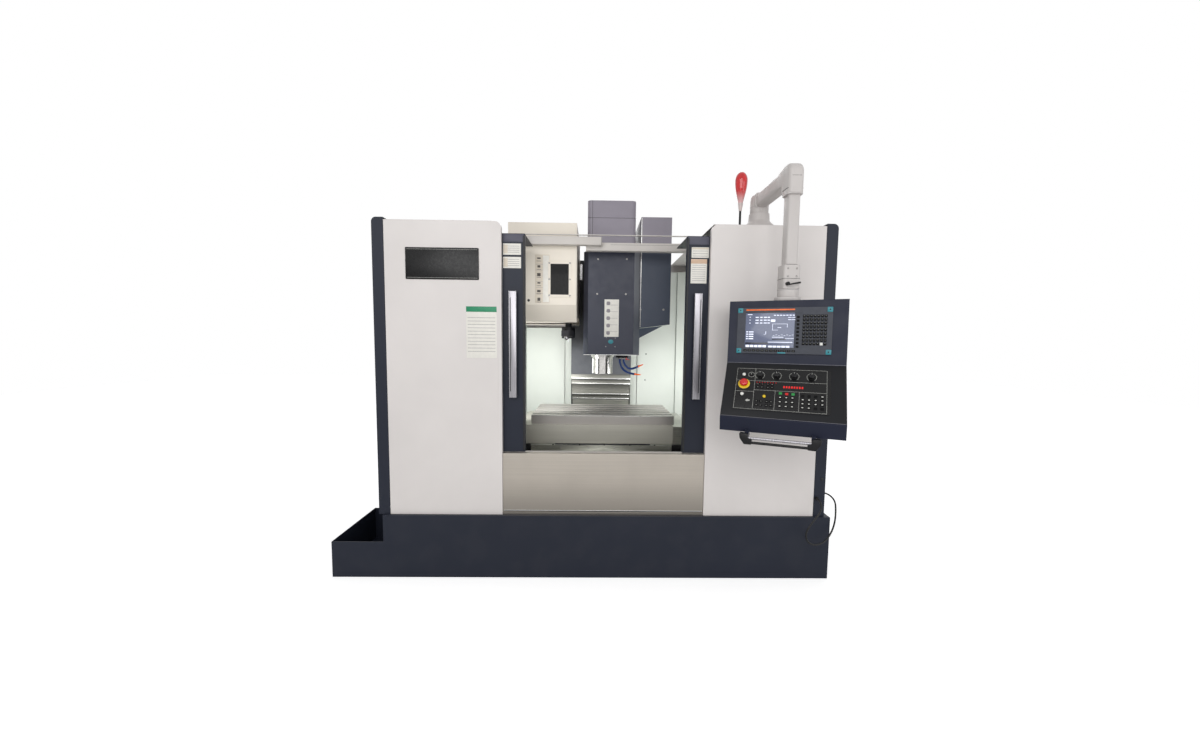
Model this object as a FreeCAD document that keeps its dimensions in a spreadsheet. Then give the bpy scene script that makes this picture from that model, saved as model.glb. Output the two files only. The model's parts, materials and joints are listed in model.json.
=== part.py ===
"""A vertical machining centre with its front doors slid open.

Frame: the origin is on the floor, under the middle of the door opening, in the plane of the
front panels. +X is to the operator's right, +Y goes into the machine and +Z is up.
Millimetres throughout. Every size that can be set by itself is a row of SIZES, which fills
the sheet of the document; every piece is bound to that sheet.
"""
import FreeCAD, Part
import math
import os

import Sketcher
from FreeCAD import Placement, Rotation, Vector

SIZES = {
    # enclosure
    "sheet": 3, "opening_half": 618, "half_width": 1370, "side_strip": 70,
    "panel_top": 2150, "panel_depth": 30, "panel_corner": 36, "cabinet_depth": 1495,
    "side_rise": 15, "side_corner": 28, "wall_half": 1050, "wall_front": 90, "wall_bend": 680,
    "wall_step": 22, "pan_inner": 440, "pan_outer": 540,
    "apron_top": 772, "apron_front": 8,
    # coolant tank
    "tank_front": -20, "tank_shift": 30, "tank_top": 391,
    "trough_back": 230, "bay_width": 315, "bay_top": 223, "bay_back": 530, "tank_wall": 4,
    # doors, measured open
    "door_inner": 485, "door_width": 640, "door_front": 36, "door_depth": 40,
    "door_bottom": 776, "door_top": 2090, "door_roof_back": 395,
    "handle_centre": 552, "handle_width": 44, "handle_low": 1114, "handle_high": 1750,
    # bed, saddle and table
    "bed_front": 50, "bed_rear": 2045, "bed_half": 430, "bed_bottom": 60, "bed_top": 560,
    "bed_step": 600, "step_depth": 45, "land_height": 15, "screw_channel": 85,
    "rail_width": 45, "rail_height": 30, "y_rail_at": 200,
    "saddle_front": 400, "saddle_depth": 590, "saddle_bottom": 640, "saddle_top": 735,
    "saddle_half": 600, "x_rail_at": 150, "x_rail_half": 590, "screw_rise": 34,
    "table_centre": 700, "table_length": 1000, "table_width": 550, "table_top": 937,
    "table_slab": 62, "web_half": 190, "web_depth": 400, "web_bottom": 800,
    "slot_pitch": 100, "slot_width": 18, "slot_throat": 16, "slot_foot": 30, "slot_deep": 30,
    # column and head
    "column_front": 1445, "column_half": 330, "column_top": 2180, "arch_half": 240,
    "arch_top": 790, "z_rail_at": 200, "z_rail_low": 800, "z_rail_high": 2140,
    "screw_radius": 18, "screw_gap": 14, "bearing": 40,
    "spindle_y": 800, "nose_bottom": 1208, "nose_top": 1349, "nose_radius": 80,
    "head_bottom": 1356, "head_left": -146, "head_right": 267, "head_front": 570,
    "head_top": 2100, "motor_top": 2450, "head_back": 1330,
    "slide_half": 268, "slide_bottom": 1157, "slide_top": 1990,
    "box_right": 488, "box_low": 1556, "box_top": 2352,
    # tool magazine
    "mag_left": -663, "mag_right": -192, "mag_front": 460, "mag_back": 1180,
    "mag_bottom": 1589, "mag_fold": 1706, "mag_top": 2262, "mag_wall": 3,
    "reel_height": 1925, "reel_radius": 270, "pot_radius": 31, "arm_reach": 265,
    # control box on its arm
    "post_x": 965, "post_y": 200, "tube_y": -275, "tube_side": 80, "arm_rise": 143,
    "arm_thick": 86, "box_turn": -25, "box_width": 570, "box_high": 1683, "box_fold": 1354,
    "lip_high": 1088, "lip_low": 1019,
    # clearances
    "gap": 0.3, "float_gap": 2, "flange_gap": 0.6,
}


class Size:
    """A length of the sheet, or one worked out from others, with its formula."""

    def __init__(self, value, formula):
        self.value = float(value)
        self.formula = formula

    def __add__(self, other):
        other = size(other)
        return Size(self.value + other.value, f"({self.formula} + {other.formula})")

    def __sub__(self, other):
        other = size(other)
        return Size(self.value - other.value, f"({self.formula} - {other.formula})")

    def __mul__(self, other):
        other = size(other)
        return Size(self.value * other.value, f"({self.formula} * {other.formula})")

    def __truediv__(self, other):
        other = size(other)
        return Size(self.value / other.value, f"({self.formula} / {other.formula})")

    def __neg__(self):
        return Size(-self.value, f"(0 - {self.formula})")

    def __radd__(self, other):
        return size(other) + self

    def __rsub__(self, other):
        return size(other) - self

    def __rmul__(self, other):
        return size(other) * self


def size(value):
    """A plain number as a Size; a Size stays as it is."""
    if isinstance(value, Size):
        return value
    return Size(value, f"{float(value):.6f}".rstrip("0").rstrip("."))


class Sheet:
    """The sheet of the driving sizes; each one is read as an attribute."""

    def __init__(self, document, sizes):
        table = document.addObject("Spreadsheet::Sheet", "Sizes")
        for row, (name, value) in enumerate(sizes.items(), start=1):
            table.set(f"A{row}", name)
            table.set(f"B{row}", str(value))
            table.setAlias(f"B{row}", name)
        document.recompute()
        for name in sizes:
            setattr(self, name, Size(getattr(table, name), f"Sizes.{name}"))


doc = FreeCAD.newDocument("machining_centre")
d = Sheet(doc, SIZES)
pieces = {}


# ---------------------------------------------------------------- building blocks

def bind(thing, path, value):
    """Tie one property of a document object to the sheet."""
    thing.setExpression(path, size(value).formula)


def place(thing, x=0, y=0, z=0, turn=None):
    """Put an object at a point, turned by turn = (axis, degrees)."""
    if turn:
        axis, angle = turn
        thing.Placement = Placement(Vector(0, 0, 0), Rotation(axis, size(angle).value))
        if isinstance(angle, Size):
            bind(thing, "Placement.Rotation.Angle", angle)
    for axis_name, value in zip("xyz", (x, y, z)):
        bind(thing, f"Placement.Base.{axis_name}", value)
    return thing


def keep(thing, label):
    """Add a finished piece to the sub-part of that name, which may hold several solids."""
    pieces.setdefault(label, []).append(thing)
    return thing


def name_subparts():
    """One labelled object for each sub-part: the piece itself or the group of its pieces."""
    named = []
    for label, things in pieces.items():
        thing = things[0] if len(things) == 1 else group(*things)
        thing.Label = label
        named.append(thing)
    return named


def block(x, y, z):
    """A box between the low and high value on each axis."""
    thing = doc.addObject("Part::Box", "Block")
    for path, (low, high) in zip(("Length", "Width", "Height"), (x, y, z)):
        bind(thing, path, size(high) - low)
    return place(thing, x[0], y[0], z[0])


TURNS = {"z": None, "x": (Vector(0, 1, 0), 90), "y": (Vector(1, 0, 0), -90)}


def along(thing, axis, centre, span):
    """Lay an upright bar along an axis; centre holds the two other coordinates in x, y, z order."""
    bind(thing, "Height", size(span[1]) - span[0])
    low = {"x": (span[0], *centre), "y": (centre[0], span[0], centre[1]),
           "z": (*centre, span[0])}[axis]
    return place(thing, *low, turn=TURNS[axis])


def rod(axis, centre, span, radius):
    """A round bar along an axis."""
    thing = doc.addObject("Part::Cylinder", "Rod")
    bind(thing, "Radius", radius)
    return along(thing, axis, centre, span)


def prism(axis, centre, span, radius, sides):
    """A bar with flat sides along an axis; radius reaches to its corners."""
    thing = doc.addObject("Part::Prism", "Prism")
    thing.Polygon = sides
    bind(thing, "Circumradius", radius)
    return along(thing, axis, centre, span)


def cone(centre, span, radii):
    """An upright cone between two heights."""
    thing = doc.addObject("Part::Cone", "Cone")
    bind(thing, "Radius1", radii[0])
    bind(thing, "Radius2", radii[1])
    bind(thing, "Height", size(span[1]) - span[0])
    return place(thing, centre[0], centre[1], span[0])


def cut(base, *tools):
    """The base less its tools."""
    tool = tools[0] if len(tools) == 1 else fuse(*tools)
    thing = doc.addObject("Part::Cut", "Cut")
    thing.Base = base
    thing.Tool = tool
    return thing


def fuse(*shapes):
    """Shapes joined into one solid."""
    thing = doc.addObject("Part::MultiFuse", "Fuse")
    thing.Shapes = list(shapes)
    return thing


def group(*shapes):
    """Separate solids that share one node."""
    thing = doc.addObject("Part::Compound", "Group")
    thing.Links = list(shapes)
    return thing


ROLES = {"XY": "XY_Plane", "XZ": "XZ_Plane", "YZ": "YZ_Plane"}


def new_sketch(body, plane, level):
    """A sketch on one of the body's own planes, moved along that plane's normal."""
    sketch = body.newObject("Sketcher::SketchObject", "Outline")
    base = [f for f in body.Origin.OriginFeatures if f.Role == ROLES[plane]][0]
    sketch.AttachmentSupport = [(base, "")]
    sketch.MapMode = "FlatFace"
    bind(sketch, "AttachmentOffset.Base.z", level)
    return sketch


def fix_point(sketch, item, end, u, v):
    """Hold one end of a line or arc at the point (u, v) of the sheet."""
    for kind, value in (("DistanceX", u), ("DistanceY", v)):
        value = size(value)
        number = sketch.addConstraint(
            Sketcher.Constraint(kind, -1, 1, item, end, value.value))
        sketch.setExpression(f"Constraints[{number}]", value.formula)


def rounded(corner, before, after):
    """The two ends of the arc that rounds a square corner of an outline."""
    u, v, radius = corner
    ends = []
    for other in (before, after):
        du = size(other[0]).value - size(u).value
        dv = size(other[1]).value - size(v).value
        step_u = 0 if abs(du) < 1e-6 else math.copysign(1, du)
        step_v = 0 if abs(dv) < 1e-6 else math.copysign(1, dv)
        ends.append((size(u) + radius * step_u, size(v) + radius * step_v))
    return ends


def draw(sketch, corners):
    """A closed outline; a corner with a third value is rounded by that radius."""
    points = []
    for i, corner in enumerate(corners):
        if len(corner) == 3:
            after = corners[(i + 1) % len(corners)]
            first, last = rounded(corner, corners[i - 1], after)
            points.append((first, corner))
            points.append((last, None))
        else:
            points.append((corner, None))
    start = len(sketch.Geometry)
    count = len(points)
    backward = []
    for i, (point, arc) in enumerate(points):
        after = points[(i + 1) % count][0]
        a = Vector(size(point[0]).value, size(point[1]).value, 0)
        b = Vector(size(after[0]).value, size(after[1]).value, 0)
        if arc:
            corner = Vector(size(arc[0]).value, size(arc[1]).value, 0)
            centre = a + b - corner
            middle = centre + (corner - centre) * (1 / math.sqrt(2))
            backward.append(((a - centre).cross(b - centre)).z < 0)
            ends = (b, middle, a) if backward[-1] else (a, middle, b)
            sketch.addGeometry(Part.Arc(*ends), False)
        else:
            backward.append(False)
            sketch.addGeometry(Part.LineSegment(a, b), False)
    for i, (point, arc) in enumerate(points):
        following = (i + 1) % count
        begin = 2 if backward[i] else 1
        next_begin = 2 if backward[following] else 1
        sketch.addConstraint(Sketcher.Constraint(
            "Coincident", start + i, 3 - begin, start + following, next_begin))
        fix_point(sketch, start + i, begin, point[0], point[1])
        if arc:
            number = sketch.addConstraint(
                Sketcher.Constraint("Radius", start + i, size(arc[2]).value))
            sketch.setExpression(f"Constraints[{number}]", size(arc[2]).formula)


def profile(plane, corners, span, holes=()):
    """A body: an outline, less its holes, padded between two values of the plane's normal."""
    body = doc.addObject("PartDesign::Body", "Body")
    low, high = size(span[0]), size(span[1])
    level = -high if plane == "XZ" else low
    sketch = new_sketch(body, plane, level)
    draw(sketch, corners)
    for hole in holes:
        draw(sketch, hole)
    pad = body.newObject("PartDesign::Pad", "Pad")
    pad.Profile = sketch
    bind(pad, "Length", high - low)
    return body


def stacked(rings, sides):
    """A tapered body about its own Z axis through many-sided rings of (radius, height)."""
    corners = [[Vector(radius * math.cos(2 * math.pi * n / sides),
                       radius * math.sin(2 * math.pi * n / sides), height)
                for n in range(sides + 1)] for radius, height in rings]
    faces = [Part.Face(Part.makePolygon(corners[0])), Part.Face(Part.makePolygon(corners[-1]))]
    for low, high in zip(corners, corners[1:]):
        faces += [Part.Face(Part.makePolygon([low[n], low[n + 1], high[n + 1], high[n], low[n]]))
                  for n in range(sides)]
    thing = doc.addObject("Part::Feature", "Stack")
    thing.Shape = Part.makeSolid(Part.makeShell(faces))
    return thing


def turned(corners):
    """A body of revolution about its own Z axis; corners are (radius, height)."""
    body = doc.addObject("PartDesign::Body", "Body")
    sketch = new_sketch(body, "XZ", 0)
    draw(sketch, corners)
    spin = body.newObject("PartDesign::Revolution", "Spin")
    spin.Profile = sketch
    spin.ReferenceAxis = (sketch, ["V_Axis"])
    spin.Angle = 360
    return body


def tray(x, y, z, wall, open_side):
    """A folded sheet box with one side open: open_side is an axis and -1 or 1."""
    axis, side = open_side
    spans = [x, y, z]
    inner = []
    for i, (low, high) in enumerate(spans):
        low_in = size(low) + wall
        high_in = size(high) - wall
        if i == axis and side > 0:
            high_in = size(high) + wall
        if i == axis and side < 0:
            low_in = size(low) - wall
        inner.append((low_in, high_in))
    return cut(block(x, y, z), block(*inner))


# ---------------------------------------------------------------- tank and bed

def coolant_tank():
    """A welded tank: a trough along the front and an open bay at its left end."""
    wall = d.tank_wall
    left, right = -d.half_width + d.tank_shift, d.half_width + d.tank_shift
    bay_left = left - d.bay_width
    trough = block((left, right), (d.tank_front, d.trough_back),
                   (0, d.tank_top - d.sheet))
    bay = block((bay_left, left + wall), (d.tank_front, d.bay_back), (0, d.bay_top))
    shell = fuse(trough, bay)
    trough_hollow = block((left + wall, right - wall),
                          (d.tank_front + wall, d.trough_back - wall),
                          (wall, d.tank_top))
    bay_hollow = block((bay_left + wall, left), (d.tank_front + wall, d.bay_back - wall),
                       (wall, d.bay_top + wall))
    keep(cut(shell, trough_hollow, bay_hollow), "coolant_tank")
    cover = block((left, right), (d.tank_front, d.trough_back),
                  (d.tank_top - d.sheet, d.tank_top))
    keep(cover, "coolant_tank")


def machine_bed():
    """The cast bed: lands for the rails, a channel for the feed screw, a step for the column."""
    half, top, channel = d.bed_half, d.bed_top, d.screw_channel
    land_low, land_high = d.y_rail_at - 40, d.y_rail_at + 40
    land_top = top + d.land_height
    right = [(channel, top), (land_low, top), (land_low, land_top), (land_high, land_top),
             (land_high, top), (300, top), (half, top - 90), (half, d.bed_bottom),
             (half - 110, d.bed_bottom), (half - 140, d.bed_bottom + 190)]
    left = [(-size(u), v) for u, v in reversed(right)]
    outline = right + left + [(-channel, top - 120), (channel, top - 120)]
    rails_bed = profile("XZ", outline, (d.bed_front, d.bed_rear))
    step_front = d.column_front - d.step_depth
    step = block((-half, half), (step_front, d.bed_rear), (top - 60, d.bed_step))
    clear = block((-channel, channel), (step_front - 30, step_front + 200),
                  (top - 120, d.bed_step + 10))
    under_tank = block((-half - 10, half + 10), (d.bed_front - 5, d.trough_back + 8),
                       (d.bed_bottom - 5, d.tank_top + 9))
    windows = [block((-half - 10, half + 10), (y, size(y) + 190), (170, 380))
               for y in (250, 620, 990, 1500)]
    keep(cut(fuse(rails_bed, step), clear, under_tank, *windows), "machine_base")
    feet = []
    for x in (-(half - 55), half - 55):
        for y in (d.trough_back + 85, size(640), size(1290), d.bed_rear - 110):
            pad = prism("z", (x, y), (0, 22), 68, 12)
            stud = prism("z", (x, y), (20, d.bed_bottom), 15, 6)
            feet.append(fuse(pad, stud))
    keep(group(*feet), "levelling_feet")


def rail_pair(axis, at, level, span, thick_up, label):
    """Two linear rails; axis is the way they run, at their distance from the middle."""
    half = d.rail_width / 2
    rails = []
    for side in (-1, 1):
        centre = level[0] + at * side
        across = (centre - half, centre + half)
        up = (level[1], level[1] + thick_up)
        if axis == "y":
            rails.append(block(across, span, up))
        elif axis == "x":
            rails.append(block(span, across, up))
        else:
            rails.append(block(across, (level[1] - thick_up, level[1]), span))
    keep(group(*rails), label)


def guide_blocks(axis, at, level, stops, length, seat, label):
    """The running blocks of a rail pair: each clears its rail and ends at its seat."""
    half = d.rail_width / 2 + 22
    slot = d.rail_width / 2 + d.gap
    runners = []
    for side in (-1, 1):
        centre = level[0] + at * side
        for stop in stops:
            along = (size(stop) - length / 2, size(stop) + length / 2)
            if axis in "xy":
                across = (centre - half, centre + half)
                across_slot = (centre - slot, centre + slot)
                body_up = (level[1] + 5, seat)
                slot_up = (level[1], level[1] + d.rail_height + d.gap)
                if axis == "y":
                    runners.append(cut(block(across, along, body_up),
                                       block(across_slot, (along[0] - 5, along[1] + 5), slot_up)))
                else:
                    runners.append(cut(block(along, across, body_up),
                                       block((along[0] - 5, along[1] + 5), across_slot, slot_up)))
            else:
                runners.append(cut(
                    block((centre - half, centre + half), (seat, level[1] - 5), along),
                    block((centre - slot, centre + slot),
                          (level[1] - d.rail_height - d.gap, level[1]),
                          (along[0] - 5, along[1] + 5))))
    keep(group(*runners), label)


def guides():
    """Rails and running blocks of the three axes."""
    land_top = d.bed_top + d.land_height
    rail_pair("y", d.y_rail_at, (size(0), land_top),
              (d.bed_front + 60, d.column_front - d.step_depth - 10), d.rail_height, "guide_rails")
    guide_blocks("y", d.y_rail_at, (size(0), land_top),
                 (d.saddle_front + 90, d.saddle_front + d.saddle_depth - 90), 130,
                 d.saddle_bottom, "saddle")
    rail_pair("x", d.x_rail_at, (d.table_centre, d.saddle_top), (-d.x_rail_half, d.x_rail_half),
              d.rail_height, "saddle")
    guide_blocks("x", d.x_rail_at, (d.table_centre, d.saddle_top), (-125, 125), 115,
                 d.web_bottom, "table")
    rail_pair("z", d.z_rail_at, (size(0), d.column_front), (d.z_rail_low, d.z_rail_high),
              d.rail_height, "guide_rails")
    guide_blocks("z", d.z_rail_at, (size(0), d.column_front), (1420, 1680), 120,
                 d.head_back + 60, "head_casting")


def feed_screw(axis, centre, span, label, radius):
    """A ball screw: its thread's core and the two ends turned down for the bearings."""
    inner, outer = size(span[0]) + d.bearing, size(span[1]) - d.bearing
    core = prism(axis, centre, (inner, outer), radius, 12)
    low = prism(axis, centre, (span[0], inner), radius * 0.7, 12)
    high = prism(axis, centre, (outer, span[1]), radius * 0.7, 12)
    keep(fuse(core, low, high), label)


def servo(axis, centre, span, half, label):
    """A square servo motor: flange, finned body and round end cap."""
    low, high = size(span[0]), size(span[1])
    flange_end = low + 14

    def slab(reach, start, end):
        across = [(size(c) - reach, size(c) + reach) for c in centre]
        if axis == "x":
            return block((start, end), *across)
        if axis == "y":
            return block(across[0], (start, end), across[1])
        return block(*across, (start, end))

    cap = prism(axis, centre, (high - 30, high), half * 0.85, 16)
    keep(fuse(slab(half, low, flange_end), slab(half * 0.92, flange_end, high - 30), cap), label)


# ---------------------------------------------------------------- saddle and table

def saddle():
    """The saddle casting with its nut bracket, and the plates on its front."""
    back = d.saddle_front + d.saddle_depth
    middle = d.saddle_front + d.saddle_depth / 2
    body = block((-d.saddle_half, d.saddle_half), (d.saddle_front, back),
                 (d.saddle_bottom, d.saddle_top))
    wings = [block((side_low, side_high), (d.saddle_front - 5, back + 5),
                   (d.saddle_bottom - 5, d.saddle_bottom + 40))
             for side_low, side_high in ((-d.saddle_half - 5, size(-330)),
                                         (size(330), d.saddle_half + 5))]
    nut_bore = d.screw_radius + d.gap
    nut = cut(block((-45, 45), (middle - 40, middle + 40), (d.bed_top - 60, d.saddle_bottom)),
              rod("y", (0, d.bed_top - 25), (middle - 50, middle + 50), nut_bore))
    bearing_bore = x_screw_radius() * 0.7 + d.gap
    bearing = [cut(block((low, high), (d.table_centre - 40, d.table_centre + 40),
                         (d.saddle_top, d.web_bottom - 5)),
                   rod("x", (d.table_centre, d.saddle_top + d.screw_rise), (low - 5, high + 5),
                       bearing_bore))
               for low, high in ((-d.saddle_half, -d.saddle_half + 26),
                                 (d.saddle_half - 26, d.saddle_half))]
    keep(fuse(cut(body, *wings), nut, *bearing), "saddle")
    plate = block((-498, 483), (d.saddle_front - 8, d.saddle_front), (681, d.saddle_top))
    keep(plate, "saddle_covers")
    ends = [block((low, high), (d.saddle_front - 14, d.saddle_front), (692, d.saddle_top + 5))
            for low, high in ((-560, -498), (483, 569))]
    keep(group(*ends), "saddle_covers")


def x_screw_radius():
    """The X screw is a little slimmer than the other two."""
    return d.screw_radius - 2


def table():
    """The table: a slab with five T-slots over a web that carries the blocks and the nut."""
    half_width = d.table_width / 2
    front, back = d.table_centre - half_width, d.table_centre + half_width
    top, bottom = d.table_top, d.table_top - d.table_slab
    throat, foot = d.slot_width / 2, d.slot_foot / 2
    outline = [(front, bottom), (back, bottom), (back, top)]
    for number in (2, 1, 0, -1, -2):
        centre = d.table_centre + d.slot_pitch * number
        outline += [(centre + throat, top), (centre + throat, top - d.slot_throat),
                    (centre + foot, top - d.slot_throat), (centre + foot, top - d.slot_deep),
                    (centre - foot, top - d.slot_deep), (centre - foot, top - d.slot_throat),
                    (centre - throat, top - d.slot_throat), (centre - throat, top)]
    outline.append((front, top))
    slab = profile("YZ", outline, (-d.table_length / 2, d.table_length / 2))
    web = block((-d.web_half, d.web_half),
                (d.table_centre - d.web_depth / 2, d.table_centre + d.web_depth / 2),
                (d.web_bottom, bottom))
    hollow = [block((low, high), (d.table_centre - 90, d.table_centre + 90),
                    (d.web_bottom - 5, bottom - 12))
              for low, high in ((-d.web_half + 20, size(-70)), (size(70), d.web_half - 20))]
    nut = cut(block((-45, 45), (d.table_centre - 36, d.table_centre + 36),
                    (d.saddle_top + 8, d.web_bottom)),
              rod("x", (d.table_centre, d.saddle_top + d.screw_rise), (-50, 50),
                  x_screw_radius() + d.gap))
    notches = [rod("z", (x, front), (top - 8, top + 2), 7) for x in (-265, 0, 262)]
    keep(cut(fuse(cut(fuse(slab, web), *hollow), nut), *notches), "table")


def hood(front, back, top, bottom, span, wall=2):
    """An inverted channel of thin plate that runs along X."""
    outline = [(front, bottom), (front, top), (back, top), (back, bottom),
               (back - wall, bottom), (back - wall, top - wall),
               (front + wall, top - wall), (front + wall, bottom)]
    return profile("YZ", outline, span)


def x_covers():
    """Hoods over the saddle's rails: one on the table, two sliding and one fixed each side."""
    front, back = d.saddle_front - 4, d.saddle_front + d.saddle_depth + 6
    top = d.table_top - d.table_slab
    web_front = d.table_centre - d.web_depth / 2
    web_back = d.table_centre + d.web_depth / 2
    skirt = cut(hood(front, back, top, d.saddle_top + 10, (-590, 490)),
                block((-d.web_half - d.float_gap, d.web_half + d.float_gap),
                      (web_front - d.float_gap, web_back + d.float_gap), (top - 5, top + 5)))
    keep(skirt, "table_skirt")
    for name, inset, drop, low, high in (("x_cover_inner", 7, 9, 332, 632),
                                         ("x_cover_outer", 13, 17, 472, 730)):
        for span in ((-high, -low), (low, high)):
            keep(hood(front + inset, back - inset, top - drop, d.saddle_top + d.gap, span), name)
    for span, end in (((-690, -595), (-690, -688)), ((595, 690), (688, 690))):
        shell = hood(front + 19, back - 19, top - 25, d.saddle_top - 40, span)
        closing = block(end, (front + 19, back - 19), (d.saddle_top - 40, top - 25))
        notch = block((-d.saddle_half, d.saddle_half), (front, back),
                      (d.saddle_top - 45, d.saddle_top))
        keep(cut(fuse(shell, closing), notch), "saddle_covers")


def ridge(level, half, span, wall=2, floor=None):
    """A gabled section of the Y cover: ridge in the middle, skirts down to the bed."""
    slope = 0.163
    foot = size(floor if floor is not None else d.bed_top + d.gap)
    eave = size(level) - half * slope
    outer = [(-size(half), foot), (-size(half), eave), (size(0), size(level)),
             (size(half), eave), (size(half), foot)]
    inner = [(size(half) - wall, foot), (size(half) - wall, eave - wall),
             (size(0), size(level) - wall), (-size(half) + wall, eave - wall),
             (-size(half) + wall, foot)]
    return profile("XZ", outer + inner, span)


COVER_LENGTH = 155
Y_SECTIONS = 5


def y_covers():
    """The front telescopic cover: five gabled sections, the first fixed to the bed."""
    start = d.bed_front
    end = d.saddle_front - 8
    step = (end - start - COVER_LENGTH) / (Y_SECTIONS - 1)
    names = ("fixed_covers", "y_cover_3", "y_cover_2", "y_cover_1", "saddle_covers")
    for number, name in enumerate(names):
        low = start + step * number
        level = size(715 - 5 * (Y_SECTIONS - 1 - number))
        half = size(292 - 5 * (Y_SECTIONS - 1 - number))
        floor = d.bed_top if number == 0 else None
        keep(ridge(level, half, (low, low + COVER_LENGTH), floor=floor), name)
    back = d.saddle_front + d.saddle_depth
    half = d.arch_half - 15
    outline = [(-half, d.bed_step + 6), (-half, 700), (half, 700), (half, d.bed_step + 6),
               (half - 2, d.bed_step + 6), (half - 2, size(698)), (-half + 2, size(698)),
               (-half + 2, d.bed_step + 6)]
    keep(profile("XZ", outline, (back, back + 340)), "saddle_covers")


# ---------------------------------------------------------------- column and head

def column():
    """The cast column: legs round the arch, an open back with ribs, a channel for the screw."""
    half, front = d.column_half, d.column_front
    back = d.bed_rear
    deep = front + 70
    outline = [(-half, front), (-115, front), (-115, deep), (115, deep), (115, front),
               (half, front), (half, back - 90), (half - 90, back), (-half + 90, back),
               (-half, back - 90)]
    shaft = profile("XY", outline, (d.bed_step, d.column_top))
    arch = block((-d.arch_half, d.arch_half), (front - 10, back - 60),
                 (d.bed_step - 5, d.arch_top))
    cells = [block((-200, 200), (front + 130, back + 10), (low, low + 380))
             for low in (d.arch_top + 60, d.arch_top + 480, d.arch_top + 900)]
    keep(cut(shaft, arch, *cells), "column")
    bore = d.screw_radius * 0.7 + d.gap
    z_axis = front + d.screw_gap
    for low, high in ((d.z_rail_low, d.z_rail_low + 30), (d.z_rail_high, d.column_top)):
        keep(cut(block((-60, 60), (front - 28, deep), (low, high)),
                 rod("z", (0, z_axis), (low - 5, high + 5), bore)), "feed_drives")
    y_axis = d.bed_top - 25
    rear = y_motor_seat()
    for low, high in ((d.bed_front + 20, d.bed_front + 50), (rear - d.bearing, rear)):
        keep(cut(block((-80, 80), (low, high), (d.bed_top - 120, d.bed_top)),
                 rod("y", (0, y_axis), (low - 5, high + 5), bore)), "feed_drives")


def y_motor_seat():
    """The Y motor's flange lies just in front of the column step."""
    return d.column_front - 95


Z_SECTIONS = (("z_cover_1", 1109), ("z_cover_2", 1063), ("z_cover_3", 967), ("z_cover_4", 925))
Z_COVER_LENGTH = 200


def z_channel(level, half, span, back=None):
    """One section of the cover in front of the column rails: a channel open to the back."""
    back = back or d.column_front - d.gap
    wall = 2
    outline = [(-size(half), level), (size(half), level), (size(half), back),
               (size(half) - wall, back), (size(half) - wall, level + wall),
               (-size(half) + wall, level + wall), (-size(half) + wall, back),
               (-size(half), back)]
    return profile("XY", outline, span)


def z_covers():
    """The telescopic cover under the head: four sliding sections over a fixed one."""
    front = d.head_back + 22
    for number, (name, bottom) in enumerate(Z_SECTIONS):
        level = front + 7 * number
        half = d.slide_half - 3 * number
        keep(z_channel(level, half, (bottom, bottom + Z_COVER_LENGTH)), name)
    keep(z_channel(front + 28, d.slide_half - 12, (d.arch_top + 2, 1015), d.column_front),
         "fixed_covers")


def head():
    """The head casting: a slide plate on the column rails and an arm out to the spindle."""
    back = d.head_back
    plate = block((-d.slide_half, d.slide_half), (back, back + 20),
                  (d.slide_bottom, d.slide_top))
    core = block((-d.slide_half, d.slide_half), (back + 20, back + 60), (1345, d.slide_top))
    underside = d.head_bottom + 4
    outline = [(640, underside), (back, underside), (back, 2040), (1000, 2040), (1000, 1960),
               (640, 1960)]
    arm = profile("YZ", outline, (d.head_left + 12, d.head_right - 12))
    bore = rod("z", (0, d.spindle_y), (d.head_bottom, 1965), 48)
    pockets = [block((low, high), (1030, back - 30), (1450, 1900))
               for low, high in ((d.head_left, d.head_left + 90),
                                 (d.head_right - 90, d.head_right))]
    nut = cut(block((-60, 60), (back + 60, d.column_front + 55), (1600, 1700)),
              rod("z", (0, d.column_front + d.screw_gap), (1590, 1710), d.screw_radius + d.gap))
    keep(fuse(cut(fuse(plate, core, arm), bore, *pockets), nut), "head_casting")


def head_covers():
    """Folded covers of the head: front hood, motor hood and the box on its right flank."""
    left, right, front = d.head_left, d.head_right, d.head_front
    wall = d.sheet
    top, back = d.head_top, size(1180)
    outer = [(left, back), (left, front + 60), (left + 34, front), (right - 50, front),
             (right, front + 60), (right, back)]
    inner = [(right - wall, back), (right - wall, front + 61), (right - 51, front + wall),
             (left + 35, front + wall), (left + wall, front + 61), (left + wall, back)]
    skin = profile("XY", outer + inner, (d.head_bottom, top))
    rim_outline = [(left + wall, size(660)), (left + wall, front + 61), (left + 35, front + wall),
                   (right - 51, front + wall), (right - wall, front + 61),
                   (right - wall, size(660))]
    rim = profile("XY", rim_outline, (d.head_bottom, d.head_bottom + 4))
    motor_x = spindle_motor_x()
    roof = cut(profile("XY", outer, (top - wall, top)),
               block((motor_x - 112, motor_x + 112), (d.spindle_y - 122, d.spindle_y + 122),
                     (top - wall - 5, top + 5)))
    keep(fuse(skin, rim, roof), "head_covers")
    motor_left, motor_right = left + 26, right - 43
    top_outer = [(motor_left, size(1060)), (motor_left, front + 4, 30),
                 (motor_right, front + 4, 30), (motor_right, size(1060))]
    hood_top = cut(profile("XY", top_outer, (top, d.motor_top)),
                   block((motor_left + wall, motor_right - wall), (front + 34, 1060 - wall),
                         (top - 5, d.motor_top - wall)),
                   block((motor_left + 34, motor_right - 34), (front + 4 + wall, front + 40),
                         (top - 5, d.motor_top - wall)))
    keep(hood_top, "head_covers")
    low, high = right, d.box_right
    side_outline = [(low, d.box_low), (high, d.box_low + 28), (high, d.box_top), (low, d.box_top)]
    box = profile("XZ", side_outline, (620, 1130))
    wedge = profile("XZ", [(low, size(1470)), (high - 6, d.box_low + 28), (low, d.box_low + 28)],
                    (900, 1130))
    keep(fuse(box, wedge), "head_covers")


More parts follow.
